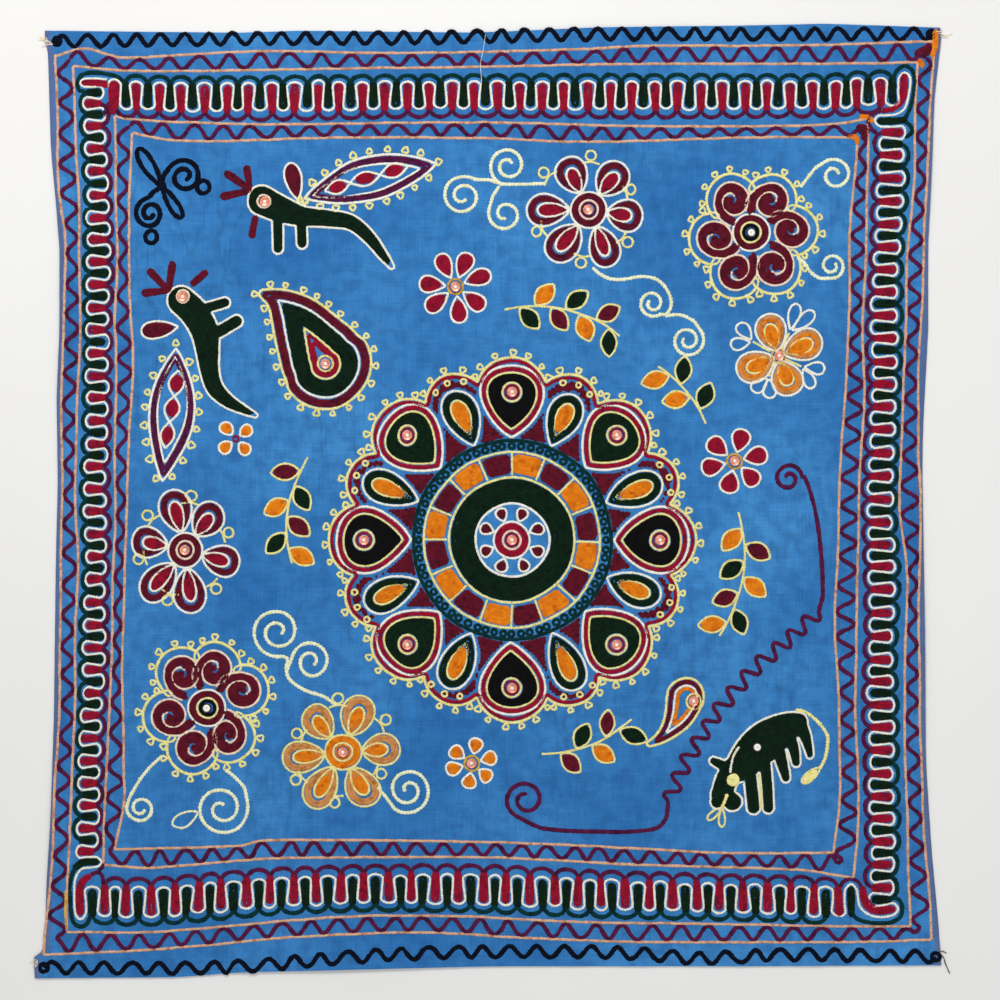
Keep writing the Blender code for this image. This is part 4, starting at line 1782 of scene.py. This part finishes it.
# %% [markdown]
# ## Large and small petals
# The eight large petals are black and dark green in turn, with a crimson border between two pale
# lines and a spangle near the tip. A smaller green petal with an orange core stands between each
# pair, and maroon rows fill the ground about them. These rows are arcs of circles, cut where they
# meet a petal, because rows that follow so ragged a shape would break up.

# %% Large petals
petal_outlines = []
for k in range(PETALS):
    place = f"medallion_petal_{k + 1}"
    seat = heart_of(place)
    out = unit(seat - MIDDLE)
    foot, tip = seat - out * 46, seat + out * (27 + stray(0.8))
    outline = evened(teardrop(foot, tip, 33, 0.7))
    lowest, highest = box_of(outline, room=4.0)
    body = "green" if k % 2 else "black"
    petal_outlines.append(outline)
    sew(place, "cream", "fine", outline, True, swell=1.1)
    fill_outline(place, "crimson", outline, 3.6, rows=1)
    inner = drawn_in(outline, 7.2)
    sew(place, "straw", "fine", inner, True)
    body_shape, eye_room = inside_of(inner), disc(seat, 10.6)
    fill(place, body, lambda at: np.maximum(body_shape(at), -eye_room(at)), lowest, highest, 2.6)
    sew_rings(place, seat, ("straw", "fine", 9.6), ("crimson", "picot", 6.9))

# %% Small petals between them
for k in range(PETALS):
    bearing = PETAL_STEP * (k + 0.5) + stray(0.8)
    place = "medallion_buds_" + ("left" if 90 < bearing < 270 else "right")
    foot, tip = spoke(MIDDLE, bearing, RINGS_END, 160 + stray(1.5))
    outline = evened(teardrop(foot, tip, 17, 0.7))
    petal_outlines.append(outline)
    sew(place, "cream", "fine", outline, True)
    fill_outline(place, "green", outline, 3.4, thread="slim", pitch=3.3, rows=2)
    out = towards(bearing)
    core = evened(teardrop(foot + out * 11, tip - out * 10.0, 8, 0.7))
    sew(place, "straw", "fine", core, True)
    fill_outline(place, "orange", core, 2.8, thread="slim", pitch=3.3)
    for turn in (-5.2, 0.0, 5.2):
        at = MIDDLE + towards(bearing + turn, 168.5 - abs(turn) * 0.6)
        sew_ring(place, "straw", "picot", at, 2.6, lift=0.5)

# %% The scalloped edge
place = "medallion_edge"
LOBES_AT = 146  # the distance of the lobes' middles from the medallion's
lobes = [disc(MIDDLE, 150)]
for k in range(PETALS):
    lobes.append(disc(MIDDLE + towards(PETAL_STEP * k, LOBES_AT), 37))
    lobes.append(disc(MIDDLE + towards(PETAL_STEP * (k + 0.5), LOBES_AT), 31))
edge = max(levels_of(together(*lobes), MIDDLE - 196, MIDDLE + 196), key=len)
sew(place, "straw", "fine", edge, True, swell=1.2)
sew(place, "crimson", "slim", drawn_in(edge, 3.4), True)
picots(place, "straw", anticlockwise(edge), 15.5)
print("the medallion has", PETALS, "large petals and", BLOCKS, "blocks")


# %% The ground between the petals
def between_petals(places):
    """Below 0 on the medallion's ground: inside its edge, clear of rings and petals."""
    clear = [1.6 - inside_of(outline)(places) for outline in petal_outlines]
    ring_side = RINGS_END - np.hypot(*(places - MIDDLE).T)
    return np.maximum.reduce([inside_of(edge)(places) + 6.0, ring_side, *clear])


place = "medallion_ground"
lay_ground(place, "maroon", between_petals, MIDDLE - 186, MIDDLE + 186)
for radius in np.arange(103.6, 184.0, 3.8):
    ring = evened(circle(MIDDLE, radius))
    free = between_petals(ring) < -1.7
    blocked = int(np.argmin(free))
    ring, free = np.roll(ring, -blocked, axis=0), np.append(np.roll(free, -blocked), False)
    changes = np.flatnonzero(np.diff(free.astype(int)))
    for start, stop in zip(changes[::2], changes[1::2]):
        if stop - start > 4:
            sew(place, "maroon", "wool", ring[start + 1:stop + 1])

# %% [markdown]
# ## Two paisleys and the leafy branches
# The paisley, or buta, is an old filling of Kutch and Kashmir work: a round body with a bent tip.
# It is a limb whose rounds shrink along a curve, worked in bands. Branches and little flowers take
# up the ground that is left.

# %% A paisley
def paisley(place, heart, steps, bands, picot_step=15.0):
    """A round body and a bent tip: steps away from the heart, each with its half width."""
    rows = [(*(heart + (x, y)), wide) for x, y, wide in steps]
    wide = steps[0][2]
    lowest, highest = box_of(rows, room=wide + 6.0)
    shape = limb(*rows)
    outline = levels_of(shape, lowest, highest)[0]
    sew(place, "straw", "fine", outline, True, swell=1.15)
    if picot_step:
        picots(place, "straw", anticlockwise(outline), picot_step)
    worked_bands(place, shape, lowest, highest, *bands)


paisley(
    "buta_upper", heart_of("buta_upper"),
    ((0, 0, 45), (-17, 27, 34), (-31, 48, 23), (-46, 63, 12), (-62, 70, 4.5)),
    (("maroon", "wool", 3.8, 7.6), ("cream", "fine", 11.4, 11.4), ("green", "wool", 15.0, 26.4),
     ("straw", "fine", 29.8, 29.8), ("crimson", "slim", 32.8, 36.0)),
)
paisley(
    "buta_lower", heart_of("buta_lower"),
    ((-8, 4, 19), (-14, -13, 14.5), (-23, -27, 9.5), (-34, -37, 5.5), (-45, -43, 2.6)),
    (("maroon", "wool", 3.8, 3.8), ("cream", "fine", 7.4, 7.4),
     ("orange", "slim", 10.4, 10.4)),
    picot_step=0,
)
for name in ("buta_upper", "buta_lower"):
    sew_ring(name, "straw", "fine", heart_of(name), 7.8, lift=0.3)


# %% Branches and little flowers
LEAF_LONG, LEAF_HALF = 29, 8.4


def branch(place, path, leaves, yarns):
    """A stem with leaves to the left and right in turn."""
    sew(place, "straw", "fine", path)
    run = spaced(path, len(path) / (leaves + 1))
    for k, (at, ahead) in enumerate(zip(run[1:-1], run[2:] - run[:-2])):
        lean = (1 if k % 2 else -1) * (52 + stray(5))
        onward = towards(bearing_of(ahead) + lean)
        outline = leaf(at + onward * 1.5, at + onward * LEAF_LONG, LEAF_HALF, LEAF_HALF, 0.8)
        worked_outline(place, outline, "straw", yarns[k % len(yarns)], 2.9)


def little_flower(place, heart, petals, reach, wide, yarn):
    sew_ring(place, "gold", "fine", heart, 7.4)
    for k in range(petals):
        bearing = 360 * k / petals + 18 + stray(3)
        worked_outline(place, teardrop(*spoke(heart, bearing, 9.4, reach), wide), "cream", yarn)


little_flower("sprig_top", heart_of("sprig_top"), 7, 36, 8.2, "crimson")
little_flower("sprig_right", heart_of("sprig_right"), 6, 33, 9.0, "crimson")
little_flower("sprig_bottom", heart_of("sprig_bottom"), 6, 25, 6.8, "orange")


def arc_about_middle(radius, first, last, rise):
    share = np.linspace(0, 1, 24)
    turn = np.radians(first + (last - first) * share)
    return spaced(about(MIDDLE, turn, radius + rise * np.sin(math.pi * share)))


BRANCHES = (
    # piece, radius, first and last bearing, rise, leaves, yarns
    ("branch_top", 230, 92, 62, 6, 7, ("green", "orange", "maroon")),
    ("branch_right", 228, 7, -25, 6, 7, ("orange", "maroon", "green")),
    ("branch_right", 226, 31, 50, 3, 4, ("green", "orange")),
    ("branch_left", 221, 158, 186, 5, 6, ("maroon", "green", "orange")),
    ("branch_bottom", 216, 278, 304, 4, 5, ("maroon", "green", "orange")),
)
for place, radius, first, last, rise, leaves, yarns in BRANCHES:
    branch(place, arc_about_middle(radius, first, last, rise), leaves, yarns)
print("two paisleys, three little flowers,", len(BRANCHES), "branches")


# %% [markdown]
# ## Spangles
# Each spangle is a small cupped disc of gilt metal with a hole, sewn down through a bead. Turning
# one profile gives the cup and its raised rim, which catches the light as a ring. They stand where
# the plain discs of the imported model do. Those in the rosettes and on the calf are the same gilt
# spangles, given a dark metal as a painted reflection of dark surroundings.

# %% Turning a profile
CUP = ((0.7, 0.40), (1.8, 0.22), (3.2, 0.30), (4.4, 0.72), (5.0, 1.10), (4.9, 1.32), (4.5, 1.22),
       (3.2, 0.62), (1.8, 0.50), (0.7, 0.58))
BEAD = [(0.95 + 0.8 * math.cos(t), 0.95 + 0.62 * math.sin(t)) for t in np.arange(8) * math.pi / 4]


def turned(profile, centre, base, segments):
    """Points in millimetres and faces of a profile turned about an upright axis."""
    turn = (np.arange(segments) * 2 * math.pi / segments)[:, None]
    far, up = np.transpose(profile)
    places = centre[0] + far * np.cos(turn), centre[1] + far * np.sin(turn), base + up + 0 * turn
    faces = strip_faces(segments, len(profile), True, True)[:, ::-1]
    return np.stack(places, axis=-1).reshape(-1, 3), faces


def turned_set(name, profile, hearts, material, segments):
    """The same turned profile at several hearts, as one piece."""
    hearts = [(heart_of(heart.removeprefix("spangle_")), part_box(heart)[0][2] / MM) for heart in hearts]
    meshes = [turned(profile, *heart, segments) for heart in hearts]
    return as_piece(name, *gathered(meshes), material, "spangle")


# %% Metal and beads
def metal(name, colour, patchy, metallic, roughness):
    tree = Tree(name, roughness, Metallic=metallic)
    spots = tree.steps(tree.noise(700, 4), (0.42, 0), (0.62, 1))
    normal = tree.bump(tree.noise(1500, 3), 0.3, 0.0003)
    return tree.finish(tree.blend(spots, patchy, colour), normal)


def bead_white():
    tree = Tree("white_bead", 0.32, Coat_Weight=0.4)
    share = tree.noise(500, 2)
    colour = tree.blend(share, colour_of(236, 228, 214), colour_of(255, 252, 246))
    return tree.finish(colour, tree.bump(tree.noise(900, 2), 0.2, 0.0002))


# painted reflection: the same gilt spangles, made dark where they mirror dark surroundings
DARK_MIRRORING_ONES = ["spangle_calf_shoulder", "spangle_rosette_bottom", "spangle_rosette_top"]
every_one = {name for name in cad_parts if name.startswith("spangle_")}
pink_ones = sorted(every_one.difference(DARK_MIRRORING_ONES))
pink_gilt = metal("pink_gilt", colour_of(250, 176, 146), colour_of(214, 120, 92), 0.45, 0.34)
# painted reflection: a dark metal for spangles that mirror dark surroundings
dark_reflection_metal = metal("dark_reflection_metal", colour_of(46, 36, 32), colour_of(18, 14, 14), 0.5, 0.36)

# %% The spangles in place
pink_cups = turned_set("spangle_cups_pink", CUP, pink_ones, pink_gilt, 32)
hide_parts(*pink_ones)
dark_reflection_cups = turned_set("spangle_cups_dark_reflection", CUP, DARK_MIRRORING_ONES, dark_reflection_metal, 32)
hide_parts(*DARK_MIRRORING_ONES)
white = bead_white()
small_beads = turned_set("spangle_beads_small", BEAD, pink_ones, white, 14)
BIG_BEAD = [(far * 2.1, up * 1.7) for far, up in BEAD]
big_beads = turned_set("spangle_beads_big", BIG_BEAD, DARK_MIRRORING_ONES, white, 18)
print(len(pink_ones), "pink spangles and", len(DARK_MIRRORING_ONES), "dark ones")

# %% [markdown]
# ## Loose threads
# The ends of yarns that were never cut: pale frayed ends at three corners, black ones at the
# lower right corner and one fine pale thread that fell across the top border. They are thin
# round tubes that rest on the cloth and run off its edge down to the floor.

# %% A tube along a path
TUBE_SIDES = 6
TUBE_LIFT = 1.0  # over the top of the cloth


def tube(path, radius):
    """Points in millimetres and faces of a thin round thread along a path."""
    path = smooth(path, step=2.0)
    on_cloth = inside_of(rim)(path) < 0
    height = np.where(on_cloth, lie(path) + TUBE_LIFT, radius)
    for _ in range(3):
        height[1:-1] = (height[:-2] + height[1:-1] + height[2:]) / 3
    turn = np.arange(TUBE_SIDES) * 2 * math.pi / TUBE_SIDES
    size = radius * np.clip(1 + stray(0.15, len(path)), 0.6, 1.4)
    plan = path[:, None, :] + (np.cos(turn) * size[:, None])[..., None] * leftward(path)[:, None]
    up = height[:, None] + np.sin(turn) * size[:, None]
    points = np.concatenate([plan, up[..., None]], axis=2).reshape(-1, 3)
    return points, strip_faces(len(path), TUBE_SIDES, False, True)


def yarn_piece(name, yarn, points, faces, tones, runs, sides):
    """A piece of yarn, with the values that its material reads."""
    piece = as_piece(name, points, faces, yarn_materials[yarn], f"{YARNS[yarn][2]}_thread")
    add_map(piece.data, "stitch", np.column_stack([runs, sides]))
    add_values(piece, "tone", tones)
    # painted shade: the groove of a stitch is darkened a little, and its tucked edges most
    groove_shade = np.interp(np.abs(sides), (0, 0.3, 0.52, 1.0), (0.30, 0.05, 0.0, 0.85))
    add_values(piece, "groove_shade", groove_shade)
    return piece


def loose_threads(name, yarn, paths, radius):
    points, faces = gathered([tube(path, radius) for path in paths])
    count = len(points)
    tones = chance.uniform(0.3, 0.7, count)
    return yarn_piece(name, yarn, points, faces, tones, np.zeros(count), np.full(count, 0.52))


# %% Frayed ends
def frayed(corner, bearing, spread, count, long):
    """A few short wandering ends that leave a corner."""
    paths = []
    for _ in range(count):
        turn = bearing + chance.uniform(-spread, spread)
        reach = long * chance.uniform(0.5, 1.0)
        start = np.array(corner) + stray(1.5, 2)
        middle = start + towards(turn + stray(15), reach * 0.5)
        paths.append([start, middle, start + towards(turn + stray(10), reach)])
    return paths


pale_ends = frayed((-436, 456), 165, 35, 7, 15) + frayed((451, 466), -12, 30, 5, 13)
pale_ends += frayed((-450, -458), 200, 60, 6, 9)
black_ends = [[(446, -452), (455, -455), (458, -463), (462, -472)],
              [(447, -453), (454, -450), (459, -452)]]
long_thread = [[(-2, 466), (-4, 452), (-7, 436), (-6, 420), (-8, 401)]]
loose = [
    loose_threads("loose_ends_pale", "blush", pale_ends, 0.32),
    loose_threads("loose_ends_black", "black", black_ends, 0.45),
    loose_threads("loose_thread_long", "cream", long_thread, 0.22),
]
print(len(pale_ends) + len(black_ends) + len(long_thread), "loose threads")

# %% [markdown]
# ## From rows to pieces
# All the rows of one colour in one part of the cloth become a single mesh. That keeps the count
# low and each map sharp, and it is how the work is done, one needleful of one colour at a time.

# %% One piece for each place and colour
def stitched_piece(place, colour):
    meshes = sewn[place, colour] + ground[place, colour]
    values = (np.concatenate([mesh[k] for mesh in meshes]) for k in (2, 3, 4))
    return yarn_piece(f"{place}_{colour}_stitches", colour, *gathered(meshes), *values)


embroidery = [stitched_piece(place, colour) for place, colour in sorted(sewn)]
face_counts = {piece.name: len(piece.data.polygons) for piece in embroidery}
largest = max(face_counts, key=face_counts.get)
print(len(embroidery), "stitched pieces,", sum(face_counts.values()), "faces; the largest is",
      largest, "with", face_counts[largest])

# %% [markdown]
# ## The sheet
# The cloth is one sheet, cut to the size that it still has, because it lies flat. The stitches
# and spangles lie on it.

# %% [markdown]
# ## Floor, light and camera
# A pale floor and world, a soft lamp a little to the top of the cloth, so that the stitches throw
# short shadows, and a weaker one across from it. The camera looks straight down.

# %% Floor
FLOOR_HALF = 6.0
FLOOR_LEVEL = -0.0006  # a hair below the cloth
floor_mesh = bpy.data.meshes.new("floor")
corners = ((-FLOOR_HALF, -FLOOR_HALF), (FLOOR_HALF, -FLOOR_HALF), (FLOOR_HALF, FLOOR_HALF),
           (-FLOOR_HALF, FLOOR_HALF))
floor_mesh.from_pydata([(*corner, FLOOR_LEVEL) for corner in corners], [], [(0, 1, 2, 3)])
floor_tree = Tree("pale_floor", 0.7, Specular_IOR_Level=0.2)
grain = floor_tree.noise(3, 3)
floor_colour = floor_tree.blend(grain, colour_of(232, 229, 224), colour_of(240, 238, 234))
floor_mesh.materials.append(floor_tree.finish(floor_colour))
floor = put("floor", floor_mesh)
floor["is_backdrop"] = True


# %% Lamps
def lamp(name, place, size, power):
    """A round lamp that looks at the middle of the cloth."""
    light = bpy.data.lights.new(name, "AREA")
    light.shape = "DISK"
    light.size = size
    light.energy = power
    lamp_object = put(name, light)
    lamp_object.location = place
    lamp_object.rotation_euler = (-Vector(place)).to_track_quat("-Z", "Y").to_euler()


lamp("soft_key", (-0.35, 1.5, 1.9), 0.9, 31.0)
lamp("soft_fill", (0.9, -0.9, 2.6), 2.2, 13.0)
world = bpy.data.worlds.new("pale_room")
world.use_nodes = True
sky = world.node_tree.nodes["Background"].inputs
sky["Color"].default_value = (0.93, 0.96, 1.0, 1.0)
sky["Strength"].default_value = 0.55
bpy.context.scene.world = world
bpy.context.scene.view_settings.view_transform = "Standard"

# %% Camera
CAMERA_HEIGHT = 2.3
VIEW_WIDTH = 1.0  # metres of the floor across the view
VIEW_MIDDLE = (0.0125, 0.001)
view = bpy.data.cameras.new("camera")
view.sensor_width = 36.0
view.lens = view.sensor_width * CAMERA_HEIGHT / VIEW_WIDTH
camera = put("camera", view)
camera.location = (*VIEW_MIDDLE, CAMERA_HEIGHT)
bpy.context.scene.camera = camera

# %% [markdown]
# ## The size, for comparing with the imported model
# Both boxes are gathered in one table, and the new one is printed. Stitches may stand a little
# proud of the solid, and only the ends of loose threads may reach past its edges.

# %% Gathering both boxes
new_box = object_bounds()
sizes = {"cad": [list(c) for c in cad_box], "visual": [list(c) for c in new_box]}
print("visual box:", sizes["visual"])
